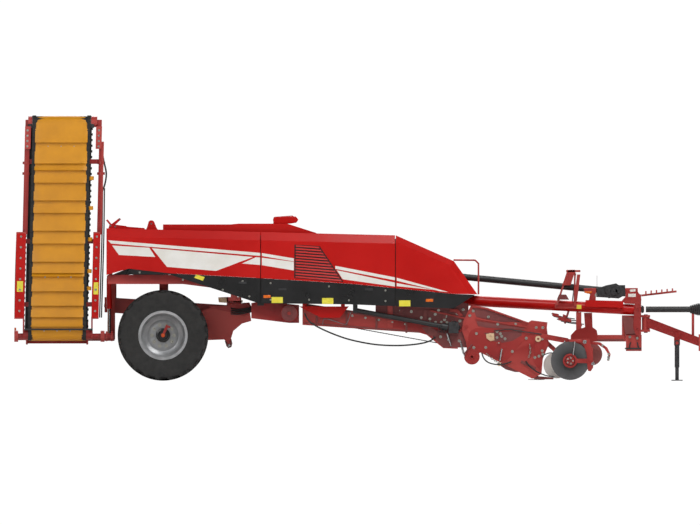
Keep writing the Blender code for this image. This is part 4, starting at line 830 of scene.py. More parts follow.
def diggingDetail():
    f = digger["face"]
    for out, face in ((-1, f), (1, -f + (boxOf("digging_web")[0][1] + boxOf("digging_web")[1][1]))):
        side = "right" if out < 0 else "left"
        def y(a, b):
            return sorted((face + out * a, face + out * b))
        heap = Heap()
        plate(heap, digger["hook"], *y(0.0005, 0.0065))
        plate(heap, digger["cheek"], *y(0.0005, 0.0085))
        # folded edges along the top of the inclined side and down its slope
        plate(heap, [(4.645, 1.135), (4.88, 1.095), (5.50, 0.875), (5.50, 0.86), (4.88, 1.075), (4.645, 1.115)],
              *y(0.0005, 0.030))
        plate(heap, [(4.70, 0.95), (5.48, 0.815), (5.48, 0.80), (4.70, 0.93)], *y(0.0005, 0.022))
        plate(heap, [(4.56, 0.60), (4.72, 0.60), (4.76, 0.40), (4.72, 0.33), (4.60, 0.33), (4.58, 0.42)],
              *y(-0.010, 0.004))
        heap.build("digger_side_plates_" + side, frameEnamel, "digger", bevel=0.0015)
        # thin dark sheets laid on the side plates below the folded edges: painted shade
        dark = Heap()
        plate(dark, digger["shade"], *y(0.0066, 0.0085))
        plate(dark, [(4.66, 1.10), (4.88, 1.065), (5.40, 0.885), (5.06, 0.885), (4.72, 0.96)], *y(0.0005, 0.003))
        plate(dark, [(4.72, 0.90), (5.44, 0.79), (5.44, 0.765), (4.86, 0.80), (4.74, 0.83)], *y(0.0066, 0.009))
        dark.build("digger_shade_plates_" + side, shadedRedEnamel, "digger", bevel=0.001)
        parts = Heap()
        for x, z, r in ((4.93, 0.665, 0.052), (5.06, 0.25, 0.030), (5.65, 0.63, 0.045)):
            ringAt(parts, x, face + out * 0.020, z, 0.016, r, 0.026)
        plate(parts, [(4.865, 0.705), (4.985, 0.715), (4.99, 0.61), (4.93, 0.595), (4.87, 0.64)], *y(0.0087, 0.016))
        parts.build("digger_flange_bearings_" + side, bearingCream, "digger", bevel=0.003)
        cap = Heap()
        ringAt(cap, 4.652, face + out * 0.010, 0.361, 0.022, 0.118, 0.026, 40)
        ringAt(cap, 4.652, face + out * 0.026, 0.361, 0.022, 0.040, 0.010, 4)
        ringAt(cap, 5.06, face + out * 0.012, 0.57, 0.012, 0.030, 0.022)
        cap.build("digger_roller_caps_" + side, frameEnamel, "digger", bevel=0.003)
        heads = Heap()
        bolts(heads, [(mx(x), face + out * 0.009, z) for x, z in digger["bolts"]], "-Y" if out < 0 else "+Y",
              0.026, 0.013)
        heads.build("digger_bolts_" + side, zincBolt, "digger")
        springs = Heap()
        spring(springs, (4.482, face + out * 0.045, 0.590), (4.53, face + out * 0.045, 0.40), 0.016, 0.0045, 11)
        bar(springs, [(4.53, face + out * 0.045, 0.40), (4.545, face + out * 0.045, 0.36)], 0.008, 8)
        bar(springs, [(6.20, face + out * 0.030, 0.60), (6.165, face + out * 0.030, 0.38)], 0.011, 10)
        bar(springs, [(5.10, face + out * 0.030, 0.48), (5.07, face + out * 0.030, 0.30)], 0.012, 10)
        springs.build("digger_springs_" + side, brightSteel, "digger")
        cover = Heap()
        bar(cover, [(4.652, face + out * 0.028, 0.545), (4.53, face + out * 0.045, 0.40)], 0.010, 8)
        plate(cover, [(5.03, 0.26), (5.12, 0.27), (5.27, 0.21), (5.36, 0.31), (5.49, 0.30), (5.48, 0.14), (5.38,
              0.13), (5.30, 0.13),
                      (5.16, 0.17)], *y(-0.020, -0.004))
        plate(cover, [(5.42, 0.13), (5.50, 0.16), (5.62, 0.07), (5.88, 0.05), (5.88, 0.02), (5.60, 0.02)],
              *y(-0.024, -0.008))
        plate(cover, [(5.40, 0.31), (5.62, 0.20), (5.60, 0.16), (5.38, 0.27)], *y(-0.001, 0.010))
        cover.build("digger_lower_links_" + side, shadedRedEnamel, "digger", bevel=0.002)
        hoses = Heap()
        tube(hoses, curvePath([(mx(x), face + out * 0.030, z) for x, z in
                               ((4.80, 0.42), (4.83, 0.34), (4.90, 0.275), (5.02, 0.245), (5.15, 0.255), (5.25,
                                0.29))], 8), 0.010, 8)
        tube(hoses, curvePath([(mx(x), face + out * 0.034, z) for x, z in
                               ((5.46, 0.30), (5.52, 0.22), (5.64, 0.13), (5.78, 0.075), (5.90, 0.06))], 8), 0.009, 8)
        tube(hoses, curvePath([(mx(x), face + out * 0.020, z) for x, z in
                               ((5.70, 0.36), (5.76, 0.40), (5.84, 0.42), (5.90, 0.40))], 8), 0.008, 8)
        tube(hoses, curvePath([(mx(x), face + out * 0.024, z) for x, z in
                               ((4.98, 0.75), (5.20, 0.77), (5.42, 0.74), (5.56, 0.72), (5.70, 0.70))], 8), 0.008, 8)
        hoses.build("digger_hoses_" + side, hoseRubber, "digger")
        links = Heap()
        chainRun(links, [(4.86, face + out * 0.036, 0.42), (4.92, face + out * 0.036, 0.36), (5.00,
                 face + out * 0.036, 0.30),
                         (5.07, face + out * 0.036, 0.27)])
        chainRun(links, [(5.52, face + out * 0.030, 0.56), (5.53, face + out * 0.030, 0.44), (5.50,
                 face + out * 0.030, 0.33)])
        links.build("digger_chains_" + side, zincBolt, "digger")
    rollers = Heap()
    bar(rollers, [(4.652, f - 0.004, 0.361), (4.652, -1.0 - f, 0.361)], 0.045, 24)
    for x, z in ((5.06, 0.57), (5.30, 0.36)):
        bar(rollers, [(x, f + 0.035, z), (x, -1.0 - f - 0.035, z)], 0.016, 12)
    rollers.build("digger_cross_tubes", frameEnamel, "digger")
    teeth = Heap()
    for y0 in np.arange(-1.20, 0.16, 0.17):
        # pointed share blades side by side along the front edge
        slab(teeth, [(mx(5.50), y0), (mx(5.50), y0 + 0.150), (mx(5.66), y0 + 0.150), (mx(5.745), y0 + 0.075),
             (mx(5.66), y0)],
             0.012, 0.022, "Z")
    teeth.build("share_blades", brightSteel, "digger", bevel=0.002)


bearingCream = finish("creamBearingCasting", "D8B48C", "E6CBA8", 0.42, grainMm=1.4, bump=0.25, mottleMm=40)
diggingDetail()


def coulterDetail():
    for side, out in (("right", -1), ("left", 1)):
        c = middleOf("disc_coulter_" + side)
        hub = Heap()
        deep = 0.05 if out > 0 else 1.0        # the left hub stays flat, because the beam passes close outside it
        turned(hub, [(0.026, 0.0), (0.060, 0.0), (0.066, out * 0.004 * deep), (0.066, out * 0.020 * deep),
               (0.054, out * 0.026 * deep),
                     (0.026, out * 0.026 * deep)], c + [0, out * 0.0195, 0], "Y", 32)
        hub.build("coulter_hub_" + side, frameEnamel, "coulter_" + side, bevel=0.002)
        a = np.arange(5) * 2 * np.pi / 5
        heads = Heap()
        bolts(heads, np.stack([c[0] + 0.044 * np.cos(a), np.full(5, c[1] - 0.0455), c[2] + 0.044 * np.sin(a)],
              -1), "-Y", 0.016, 0.008)
        if out < 0:
            heads.build("coulter_bolts_" + side, zincBolt, "coulter_" + side)
        arm = Heap()
        face = c[1] - out * 0.040
        ringAt(arm, c[0] - axleX, face, c[2], 0.026, 0.060, 0.030)
        plate(arm, [(6.10, 0.62), (6.36, 0.60), (6.40, 0.44), (6.41, 0.26), (6.385, 0.19), (6.35, 0.22), (6.345,
              0.42), (6.30, 0.55),
                    (6.12, 0.57)], *sorted((face + out * 0.000, face + out * 0.006)))
        arm.build("coulter_arm_trim_" + side, frameEnamel, "digger", bevel=0.002)
        spots = [(6.36, 0.55), (6.385, 0.42), (6.39, 0.26), (6.62, 0.53), (6.71, 0.40), (6.705, 0.32), (6.10, 0.55)]
        heads = Heap()
        bolts(heads, [(mx(x), face + out * 0.008, z) for x, z in spots], "-Y" if out < 0 else "+Y", 0.022, 0.011)
        heads.build("coulter_arm_bolts_" + side, zincBolt, "digger")
    for side in ("right", "left"):
        low, high = boxOf("ridge_roller_" + side)
        c, r = (low + high) / 2, (high[2] - low[2]) / 2
        half = (high[1] - low[1]) / 2
        heap = Heap()
        wide = np.linspace(-1, 1, 25)
        outer = [(0.118 + (r - 0.118) * abs(w) ** 1.4, w * half) for w in wide]
        turned(heap, outer + [(0.027, half), (0.027, -half)], c, "Y", 56)
        heap.build("ridge_roller_skin_" + side, whiteEnamel, "roller_" + side, replaced=["ridge_roller_" + side])
        rim = Heap()
        for w in (-1, 1):
            ringAt(rim, c[0] - axleX, c[1] + w * (half - 0.006), c[2], r - 0.010, r, 0.010, 56)
        rim.build("ridge_roller_rims_" + side, discSteel, "roller_" + side)
    drum = Heap()
    bar(drum, [(6.44, -1.17, 0.40), (6.44, 0.17, 0.40)], 0.060, 28)
    for y in (-1.17, -0.84, -0.50, -0.16, 0.17):
        ringAt(drum, 6.44, y, 0.40, 0.055, 0.175, 0.008, 40)
    bar(drum, [(6.44, -1.285, 0.40), (6.44, 0.285, 0.40)], 0.020, 12)
    drum.build("haulm_roller", shadedRedEnamel, "digger")


coulterDetail()
print("stage: digging unit done")


# sieving web frame, seen below the side panels
def sieveDetail():
    face = boxOf("sieve_web")[0][1] - 0.060
    other = boxOf("sieve_web")[1][1] + 0.060
    for out, y0 in ((-1, face), (1, other)):
        side = "right" if out < 0 else "left"
        heap = Heap()
        # pressed ribs and a stiffening rail along the web's side
        plate(heap, [(2.14, 1.14), (3.86, 0.87), (3.86, 0.85), (2.14, 1.12)], *sorted((y0 + out * 0.0004,
              y0 + out * 0.026)))
        plate(heap, [(2.14, 0.88), (3.86, 0.745), (3.86, 0.73), (2.14, 0.865)], *sorted((y0 + out * 0.0004,
              y0 + out * 0.020)))
        for x in (2.30, 2.75, 3.20, 3.65, 4.00):
            z = 1.145 - (x - 2.14) * 0.157
            plate(heap, [(x, z), (x + 0.03, z), (x + 0.03, z - 0.25 + 0.04 * (x - 2.1)), (x,
                  z - 0.25 + 0.04 * (x - 2.1))],
                  *sorted((y0 + out * 0.0004, y0 + out * 0.015)))
        plate(heap, [(3.90, 0.80), (4.02, 0.82), (4.14, 0.74), (4.10, 0.66), (3.98, 0.70)],
              *sorted((y0 + out * 0.0004, y0 + out * 0.010)))
        heap.build("sieve_side_ribs_" + side, shadedRedEnamel, "chassis", bevel=0.0015)
        spots = [(x, 0.80 + 0.085 * np.cos(3 * x)) for x in np.arange(4.02, 4.42, 0.085)]
        spots += [(x, 1.09 - (x - 2.14) * 0.157) for x in np.arange(2.25, 3.85, 0.20)]
        heads = Heap()
        bolts(heads, [(mx(x), y0 + out * 0.002, z) for x, z in spots], "-Y" if out < 0 else "+Y", 0.022, 0.010)
        heads.build("sieve_side_bolts_" + side, zincBolt, "chassis")
        rods = Heap()
        bar(rods, [(4.28, y0 + out * 0.030, 0.71), (4.325, y0 + out * 0.030, 0.57)], 0.016, 12)
        bar(rods, [(4.325, y0 + out * 0.030, 0.57), (4.34, y0 + out * 0.030, 0.52)], 0.009, 10)
        rods.build("web_tension_rods_" + side, brightSteel, "chassis")


sieveDetail()


# plates above the sieving web, seals behind the panel seams
inside = {"seams": (1.470, 3.500), "inset": 0.030, "wide": 0.10,
    "upper": [(3.20, 1.20), (3.60, 1.20), (4.42, 1.20), (4.60, 1.16), (4.60, 0.72), (4.30, 0.74), (3.86, 0.86),
              (3.20, 1.02)],
    "gusset": [(4.00, 0.72), (4.10, 0.76), (4.34, 0.74), (4.60, 0.72), (4.60, 0.50), (4.22, 0.50)]}


def innerPlates():
    face = boxOf("sieve_web")[0][1] - 0.060
    other = boxOf("sieve_web")[1][1] + 0.060
    for side, y0, out in (("right", face, -1), ("left", other, 1)):
        heap = Heap()
        plate(heap, inside["upper"], *sorted((y0 - out * 0.010, y0 - out * 0.004)))
        plate(heap, inside["gusset"], *sorted((y0 - out * 0.003, y0 + out * 0.0025)))
        for x, z, w, h in ((3.90, 0.90, 0.06, 0.16), (4.20, 0.93, 0.05, 0.12), (3.55, 1.02, 0.05, 0.06)):
            plate(heap, [(x, z), (x + w, z), (x + w + 0.03, z + h), (x + 0.03, z + h)],
                  *sorted((y0 - out * 0.004, y0 + out * 0.018)))
        heap.build("web_upper_plates_" + side, shadedRedEnamel, "chassis", bevel=0.0015)
        bars = Heap()
        plate(bars, [(4.02, 1.07), (4.60, 0.94), (4.60, 0.915), (4.02, 1.045)], *sorted((y0 - out * 0.004,
              y0 + out * 0.024)))
        plate(bars, [(4.32, 1.08), (4.44, 1.08), (4.52, 0.98), (4.47, 0.97), (4.40, 1.03), (4.32, 1.04)],
              *sorted((y0 - out * 0.004, y0 + out * 0.030)))
        bars.build("web_upper_bars_" + side, frameEnamel, "chassis", bevel=0.002)
        heads = Heap()
        spots = [(4.43, 1.01), (4.26, 0.97), (4.24, 0.92), (4.10, 1.00), (4.15, 1.06), (3.89, 0.95), (4.47,
                 0.90), (4.02, 0.93),
                 (4.36, 0.88), (4.52, 1.07), (4.30, 0.62), (4.46, 0.60), (4.18, 0.66), (3.74, 1.04), (3.58, 1.05)]
        bolts(heads, [(mx(x), y0 + out * 0.002, z) for x, z in spots], "-Y" if out < 0 else "+Y", 0.026, 0.011)
        heads.build("web_upper_bolts_" + side, zincBolt, "chassis")
    high = boxOf("nose_cover")[1]
    wide = high[1] - inside["inset"]
    top, knee = high[2] - inside["inset"], high[2] - 0.20
    for k, x in enumerate(inside["seams"]):
        a, b = mx(x) - inside["wide"] / 2, mx(x) + inside["wide"] / 2
        ring = [(-wide, 1.13), (-wide, knee), (-wide + 0.24, top - 0.02), (wide - 0.24, top - 0.02), (wide,
                knee), (wide, 1.13)]
        inner = [(y * 0.985, z - (0.012 if z > 1.2 else 0.0)) for y, z in ring[::-1]]
        seal = Heap()
        slab(seal, ring + inner, a, b, "X")
        seal.build(("rear" if k == 0 else "front") + "_seam_seal", blackRubber, "chassis")


innerPlates()
print("stage: sieving frame done")


# hitch head, beam, driveline and arch
front = {
    "headTop": [(6.965, 1.37), (7.130, 1.39), (7.161, 1.321), (7.195, 1.290), (7.205, 1.21), (7.153, 1.152),
                (6.954, 1.16),
                (6.910, 1.206), (6.965, 1.267)],
    "headPlate": [(7.10, 1.15), (7.18, 1.22), (7.20, 1.10), (7.19, 0.88), (7.165, 0.65), (7.12, 0.69), (7.08,
                  0.80), (7.09, 1.00)],
    "headLower": [(6.915, 0.98), (7.08, 0.95), (7.12, 0.71), (6.96, 0.70)],
    "cast": [(6.339, 1.022), (6.462, 1.022), (6.469, 0.806), (6.531, 0.760), (6.546, 0.683), (6.539, 0.592),
             (6.139, 0.592),
             (6.139, 0.683), (6.208, 0.760), (6.354, 0.806)],
    "casing": [(6.531, 1.390), (6.640, 1.425), (6.669, 1.436), (6.823, 1.467), (6.961, 1.375), (6.969, 1.298),
               (6.861, 1.237),
               (6.662, 1.252), (6.523, 1.260)],
    "legs": ([(6.10, 1.667), (6.21, 1.667), (6.14, 1.437), (6.008, 1.437)], [(6.235, 1.60), (6.285, 1.60),
             (6.235, 1.20), (6.185, 1.20)],
             [(6.07, 1.667), (6.285, 1.667), (6.285, 1.635), (6.07, 1.635)]),
    "saddle": [(5.962, 1.298), (6.07, 1.298), (6.116, 1.22), (5.93, 1.22)],
    "lampPlate": [(6.339, 1.392), (6.523, 1.398), (6.515, 1.175), (6.405, 1.175), (6.43, 1.30), (6.339, 1.35)],
    "guard": [(6.30, 0.63), (6.42, 0.63), (6.475, 0.40), (6.478, 0.20), (6.44, 0.14), (6.40, 0.15), (6.386,
              0.262), (6.225, 0.268),
              (6.225, 0.332), (6.388, 0.332), (6.375, 0.42)]}


def frontDetail():
    head = Heap()
    plate(head, front["headTop"], 0.318, 0.3295)
    plate(head, front["headPlate"], 0.314, 0.3295)
    for x, z, r in ((7.14, 1.075, 0.028), (7.145, 0.78, 0.022)):
        ringAt(head, x, 0.310, z, 0.010, r, 0.010)
    head.build("hitch_head_plates", frameEnamel, "chassis", bevel=0.002)
    flat("hitch_head_inset", shadedRedEnamel, "chassis", [front["headLower"]], 0.322, 0.3296)
    flat("hitch_blank_plates", whiteEnamel, "chassis", [[(7.03, 1.372), (7.115, 1.380), (7.118, 1.345), (7.033,
         1.338)],
         [(7.005, 1.310), (7.120, 1.310), (7.120, 1.262), (7.005, 1.262)]], 0.315, 0.3178, 0.0005)
    flat("tube_blank_label", stickerYellow, "chassis", [[(6.185, 1.145), (6.30, 1.140), (6.30, 1.080), (6.185,
         1.085)]], 0.335, 0.3395, 0)
    casting = Heap()
    plate(casting, front["cast"], 0.3625, 0.3697)
    for x, z, r in ((6.44, 0.95, 0.014), (6.37, 0.98, 0.012)):
        ringAt(casting, x, 0.3585, z, 0.004, r, 0.010, 20)
    casting.build("beam_bracket", frameEnamel, "chassis", bevel=0.003)
    flat("beam_shadow_strip", shadedRedEnamel, "chassis", [[(6.24, 0.618), (6.94, 0.628), (6.94, 0.596), (6.24,
         0.594)]], 0.364, 0.3697)
    flat("beam_foot_clamp", castGrey, "chassis", [[(6.955, 0.497), (7.20, 0.497), (7.20, 0.475), (6.955, 0.475)],
         [(7.03, 0.58), (7.05, 0.58), (7.03, 0.50), (7.01, 0.50)], [(7.13, 0.58), (7.15, 0.58), (7.17, 0.50),
             (7.15, 0.50)]], 0.316, 0.3297, 0.002)
    box = Heap()
    plate(box, front["casing"], 0.322, 0.518)
    for x, z, r in ((6.70, 1.36, 0.055), (6.79, 1.34, 0.062), (6.72, 1.28, 0.040), (6.85, 1.36, 0.045)):
        ringAt(box, x, 0.316, z, 0.006, r, 0.016, 10)
    for x in (6.53, 6.56, 6.59, 6.62):
        turned(box, [(0.052, -0.006), (0.070, -0.006), (0.070, 0.006), (0.052, 0.006)], (mx(x), 0.42, 1.345), "X", 28)
    box.build("front_gearbox_casing", castGrey, "chassis", bevel=0.005)
    shaft = Heap()
    turned(shaft, [(0.030, -0.018), (0.060, -0.018), (0.050, 0.016), (0.030, 0.016)], (mx(7.222), 0.42, 1.075),
           "X", 36)
    shaft.build("pto_head_collar", guardPlastic, "chassis", bevel=0.003)
    ribs = Heap()
    along = np.linspace(-0.105, 0.105, 29)
    # corrugated sleeve widening towards the tractor:
    # radius = 0.058 + 0.034 (share along, up to 1) + 0.004 cos (7 turns along)
    sleeve = [(0.058 + 0.034 * min(1, (v + 0.105) / 0.12) + 0.004 * np.cos((v + 0.105) / 0.21 * 14 * np.pi),
              v) for v in along]
    turned(ribs, [(0.036, -0.105)] + sleeve + [(0.036, 0.105)], (mx(8.040), 0.42, 1.075), "X", 36)
    ribs.build("pto_bell_ribs", guardPlastic, "front_drawbar", bevel=0.002)
    legs = Heap()
    for outline in front["legs"]:
        plate(legs, outline, 0.290, 0.3035)
        plate(legs, outline, 0.5365, 0.550)
    legs.build("arch_side_plates", frameEnamel, "chassis", bevel=0.002)
    flat("arch_saddle_plate", shadedRedEnamel, "chassis", [front["saddle"]], 0.291, 0.298)
    rod = Heap()
    bar(rod, [(6.165, 0.42, 1.20), (6.215, 0.42, 1.62)], 0.010, 10)
    bar(rod, [(6.535, 0.345, 1.380), (6.535, 0.345, 1.585)], 0.003, 6)
    rod.build("arch_stay_rod", brightSteel, "chassis")
    flat("front_lamp_bracket", frameEnamel, "chassis", [front["lampPlate"]], 0.288, 0.296, 0.002)
    flat("front_lamp_lens", lampOrange, "chassis", [[(6.345, 1.345), (6.462, 1.350), (6.462, 1.325), (6.40,
         1.310), (6.345, 1.325)]],
         0.270, 0.2875, 0.004)
    spots = [(6.35, 1.18), (6.41, 1.17), (6.47, 1.17), (6.52, 1.29), (7.03, 0.66), (7.14, 0.64), (7.10, 1.16)]
    heads = Heap()
    bolts(heads, [(mx(x), 0.3165 if x > 6.6 else 0.3535 if z < 1 else 0.2885, z) for x,
          z in spots if z > 1.25 or z < 0.9], "-Y", 0.024, 0.011)
    heads.build("front_bolt_heads", zincBolt, "chassis")
    # fittings, pipes and a branched pipe cluster under the tube
    pipes = Heap()
    for k, (x0, z0, x1, z1) in enumerate(((5.85, 1.01, 6.20, 0.93), (5.88, 0.97, 6.26, 0.90), (5.93, 0.93, 6.30,
                                         0.87), (5.99, 0.90, 6.34, 0.85))):
        tube(pipes, curvePath([(mx(x0), 0.385 + 0.012 * k, z0), (mx((x0 + x1) / 2), 0.375 + 0.012 * k,
             (z0 + z1) / 2 - 0.012),
                               (mx(x1), 0.385 + 0.012 * k, z1)], 6), 0.008, 8)
    pipes.build("front_pipe_runs", hoseRubber, "chassis")
    blocks = Heap()
    for x, z, w, h in ((5.86, 1.0, 0.10, 0.05), (5.95, 0.94, 0.11, 0.06), (6.06, 0.92, 0.09, 0.05), (6.02,
                       0.985, 0.05, 0.04)):
        plate(blocks, [(x, z - h / 2), (x + w, z - h / 2 - 0.02), (x + w, z + h / 2 - 0.02), (x, z + h / 2)],
              0.36, 0.46)
    bar(blocks, [(6.11, 0.42, 1.06), (6.05, 0.42, 0.86)], 0.016)
    bar(blocks, [(6.24, 0.42, 1.05), (6.30, 0.42, 0.82)], 0.014)
    blocks.build("valve_block_cluster", frameEnamel, "chassis", bevel=0.004)
    # outer half of the coulter fork, round the hub on the near side
    fork = Heap()
    plate(fork, front["guard"], -1.3745, -1.3665)
    ringAt(fork, 6.13, -1.3705, 0.30, 0.076, 0.108, 0.012, 40)
    boxAt(fork, [mx(6.437), mx(6.474)], [-1.3665, -1.295], [0.22, 0.50])
    fork.build("coulter_outer_fork", frameEnamel, "digger", bevel=0.002)
    marks = Heap()
    ringAt(marks, 6.475, -1.377, 0.255, 0.006, 0.026, 0.010, 24)
    ringAt(marks, 6.35, -1.377, 0.585, 0.006, 0.030, 0.010, 24)
    ringAt(marks, 6.71, -1.297, 0.355, 0.006, 0.022, 0.010, 24)
    marks.build("fork_pivot_washers", brightSteel, "digger", bevel=0.001)
    rods = Heap()
    bar(rods, [(6.20, -1.383, 0.590), (6.172, -1.383, 0.385)], 0.010)
    bar(rods, [(6.055, -1.300, 0.60), (5.985, -1.300, 0.48)], 0.009)
    rods.build("fork_rods", brightSteel, "digger")
    brace = Heap()
    plate(brace, [(6.12, 0.62), (6.32, 0.63), (6.32, 0.595), (6.12, 0.585)], -1.3745, -1.3665)
    brace.build("fork_top_brace", frameEnamel, "digger", bevel=0.002)


frontDetail()
print("stage: hitch done")


# lower driveline head, axle fittings and small body parts
def knuckle(heap, x, y, z, radius, axis="Y"):
    # ball-like joint cover: a half circle turned about its axis, cut flat at both ends
    t = np.linspace(-0.9, 0.9, 11)
    turned(heap, [(0.008, t[0] * radius)] + [(radius * np.sqrt(1 - v * v), v * radius) for v in t] + [(0.008,
           t[-1] * radius)],
           (mx(x), y, z), axis, 20)


def smallParts():
    joint = Heap()
    for x, y, z, r in ((4.385, -1.330, 0.845, 0.058), (4.44, -1.3, 0.80, 0.045)):
        knuckle(joint, x, y, z, r)
    for k in range(5):
        turned(joint, [(0.040, -0.006), (0.058, -0.004), (0.058, 0.004), (0.040, 0.006)], (mx(4.24 - 0.022 * k),
               -1.325, 0.772 + 0.003 * k), "X", 24)
    joint.build("lower_joint_cover", guardPlastic, "chassis", bevel=0.002)
    for side, out in (("right", -1), ("left", 1)):
        y = out * 0.700
        arm = Heap()
        plate(arm, [(0.98, 1.15), (1.30, 1.18), (1.34, 1.10), (1.33, 1.03), (1.22, 0.97), (1.02, 1.03), (0.70,
              1.10), (0.70, 1.12), (0.98, 1.13)],
              *sorted((y + out * 0.0005, y + out * 0.012)))
        for x, z in ((1.02, 1.155), (1.12, 1.165), (1.22, 1.16), (1.06, 1.06), (1.27, 1.10)):
            ringAt(arm, x, y + out * 0.016, z, 0.004, 0.016, 0.010, 16)
        arm.build("axle_bracket_plate_" + side, frameEnamel, "chassis", bevel=0.003)
        ear = Heap()
        plate(ear, [(0.93, 0.60), (1.03, 0.63), (1.045, 0.56), (1.03, 0.505), (0.985, 0.49), (0.955, 0.52)],
              *sorted((y - out * 0.050, y - out * 0.036)))
        ear.build("axle_ear_" + side, shadedRedEnamel, "chassis", bevel=0.004)
        pin = Heap()
        ringAt(pin, 0.995, y - out * 0.036, 0.530, 0.004, 0.020, 0.008, 20)
        pin.build("axle_ear_eye_" + side, brightSteel, "chassis")
        pads = Heap()
        plate(pads, [(0.83, 1.255), (0.99, 1.262), (0.99, 1.235), (1.0, 1.17), (0.84, 1.18)],
              *sorted((y - out * 0.09, y - out * 0.01)))
        plate(pads, [(1.05, 1.215), (1.20, 1.215), (1.20, 1.175), (1.05, 1.175)], *sorted((y - out * 0.09,
              y - out * 0.01)))
        pads.build("axle_rubber_pads_" + side, bearingCream, "chassis", bevel=0.006)
        hoses = Heap()
        for k in range(4):
            tube(hoses, curvePath([(mx(1.02), y + out * 0.022, 1.09 - 0.028 * k), (mx(1.16), y + out * 0.040,
                 1.075 - 0.024 * k),
                                   (mx(1.329), y + out * 0.050, 1.10 - 0.020 * k)], 6), 0.009, 8)
        hoses.build("axle_hoses_" + side, hoseRubber, "chassis")
        roller = Heap()
        yr = out * 1.376 if out < 0 else 1.242
        ringAt(roller, 1.900, yr, 1.015, 0.030, 0.118, 0.008, 36)
        ringAt(roller, 1.900, yr + out * 0.006, 1.015, 0.030, 0.045, 0.010, 6)
        roller.build("roller_end_disc_" + side, shadedRedEnamel, "chassis", bevel=0.002)
        # bent support rod under the guard
        rod = Heap()
        tube(rod, curvePath([(mx(x), out * 1.315, z) for x, z in ((2.400, 0.848), (2.437, 0.932), (2.60, 0.892),
             (2.74, 0.850), (2.785, 0.90), (2.83, 1.04))], 6), 0.006, 6)
        rod.build("bent_support_rod_" + side, barSteel, "chassis")
        # black wedge behind the panel's rear corner
        wedge = Heap()
        plate(wedge, [(-0.84, 1.565), (-0.51, 1.70), (0.20, 1.66), (0.20, 1.60), (-0.40, 1.585), (-0.47, 1.60)],
              *sorted((out * 1.30, out * 1.312)))
        wedge.build("rear_corner_wedge_" + side, blackEnamel, "chassis")
    # linkage and lifting eyes on the roof
    for side, y in (("right", -1.20), ("left", 1.20)):
        eye = Heap()
        plate(eye, [(-0.27, 2.250), (-0.06, 2.245), (-0.10, 2.310), (-0.135, 2.400), (-0.160, 2.415), (-0.190, 2.415),
                    (-0.215, 2.400), (-0.24, 2.310)], y - 0.006, y + 0.006)
        plate(eye, [(-0.860, 2.415), (-0.835, 2.430), (-0.775, 2.360), (-0.655, 2.452), (-0.630, 2.430), (-0.715, 2.350),
                    (-0.550, 2.330), (-0.550, 2.270), (-0.830, 2.270), (-0.805, 2.350)], y - 0.006, y + 0.006)
        plate(eye, [(-0.60, 2.325), (-0.28, 2.300), (-0.26, 2.255), (-0.60, 2.260)], y - 0.010, y + 0.010)
        eye.build("roof_brackets_" + side, redEnamel, "chassis", bevel=0.002)
        rings = Heap()
        for x, z in ((-0.175, 2.365), (-0.790, 2.335), (-0.720, 2.320), (-0.655, 2.430)):
            ringAt(rings, x, y - 0.008, z, 0.004, 0.013, 0.004, 18)
        rings.build("roof_bracket_eyes_" + side, brightSteel, "chassis")
    tank = Heap()
    plate(tank, [(1.670, 2.365), (1.655, 2.420), (1.670, 2.468), (2.000, 2.475), (2.040, 2.425), (2.010, 2.380),
                 (1.920, 2.365)], -0.80, -0.45)
    tank.build("camera_box", redEnamel, "chassis", bevel=0.01)
    for side, out in (("right", -1), ("left", 1)):
        lever = Heap()
        plate(lever, [(-0.012, 0.70), (0.02, 0.69), (0.075, 0.80), (0.105, 0.79), (0.115, 0.815), (0.045,
              0.845), (0.035, 0.815)],
              *sorted((out * 1.2925, out * 1.2985)))
        lever.build("hub_lever_" + side, frameEnamel, "wheel_" + side, bevel=0.002)


smallParts()
print("stage: small parts done")


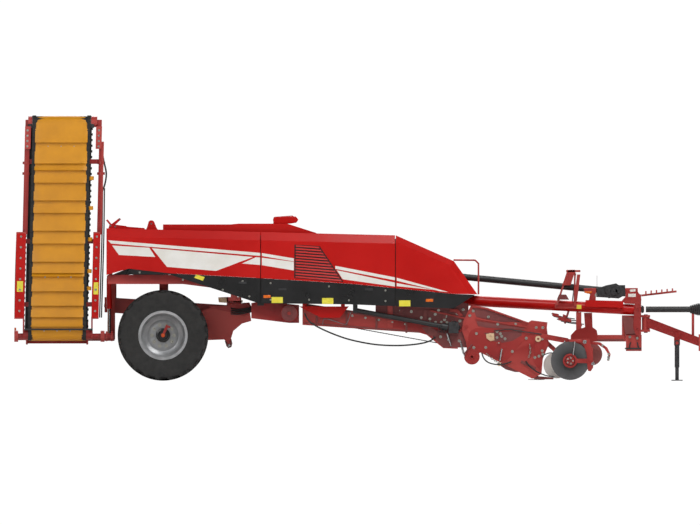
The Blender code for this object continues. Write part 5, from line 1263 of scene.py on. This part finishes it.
# studio
def studio():
    floor = Heap()
    floor.add(np.array([[-60, -60, 0], [60, -60, 0], [60, 60, 0], [-60, 60, 0.0]]) + [0, 0, -0.002], [[0, 1, 2, 3]])
    mesh = bpy.data.meshes.new("floor")
    mesh.from_pydata(floor.points[0].tolist(), [], [[0, 1, 2, 3]])
    ob = bpy.data.objects.new("floor", mesh)
    bpy.context.scene.collection.objects.link(ob)
    mesh.materials.append(floorPale)
    away, half, glow = light["backdrop"]
    mesh = bpy.data.meshes.new("backdrop")
    mesh.from_pydata([(-half, away, -half), (half, away, -half), (half, away, half), (-half, away, half)], [],
                     [(0, 1, 2, 3)])
    paper = bpy.data.materials.new("litPaper")
    paper.use_nodes = True
    shader = paper.node_tree.nodes["Principled BSDF"]
    shader.inputs["Base Color"].default_value = (0, 0, 0, 1)
    shader.inputs["Emission Color"].default_value = linear("FFFFFF")
    shader.inputs["Emission Strength"].default_value = glow
    mesh.materials.append(paper)
    sheet = bpy.data.objects.new("backdrop", mesh)
    bpy.context.scene.collection.objects.link(sheet)
    world = bpy.data.worlds.new("paleStudio")
    bpy.context.scene.world = world
    world.use_nodes = True
    world.node_tree.nodes["Background"].inputs["Color"].default_value = linear("FFFFFF")
    world.node_tree.nodes["Background"].inputs["Strength"].default_value = light["world"]
    bpy.context.scene.view_settings.view_transform = "Standard"
    for name, place, aim, size, power in light["lamps"]:
        lamp = bpy.data.lights.new(name, "AREA")
        lamp.size, lamp.energy = size, power
        ob = bpy.data.objects.new(name, lamp)
        ob.location = place
        ob.rotation_euler = (Vector(aim) - Vector(place)).to_track_quat("-Z", "Y").to_euler()
        bpy.context.scene.collection.objects.link(ob)


light = {"world": 0.13, "backdrop": (120.0, 260.0, 1.02),
         "lamps": (("key", (5, -11, 14), (0, 0, 1.4), 9, 1750), ("fill", (-9, -14, 7), (-1, 0, 1), 8, 480),
                   ("back", (0, 12, 11), (0, 0, 1), 10, 1500))}
view = {"across": 10.54, "middle": mx(2.816), "height": 1.780, "away": 40.0}


def camera():
    cam = bpy.data.cameras.new("camera")
    cam.type = "ORTHO"
    cam.ortho_scale = view["across"]
    cam.clip_end = 300
    ob = bpy.data.objects.new("camera", cam)
    ob.location = (view["middle"], -view["away"], view["height"])
    ob.rotation_euler = (math.radians(90), 0, 0)
    bpy.context.scene.collection.objects.link(ob)
    bpy.context.scene.camera = ob


studio()
camera()
print("stage: studio done")
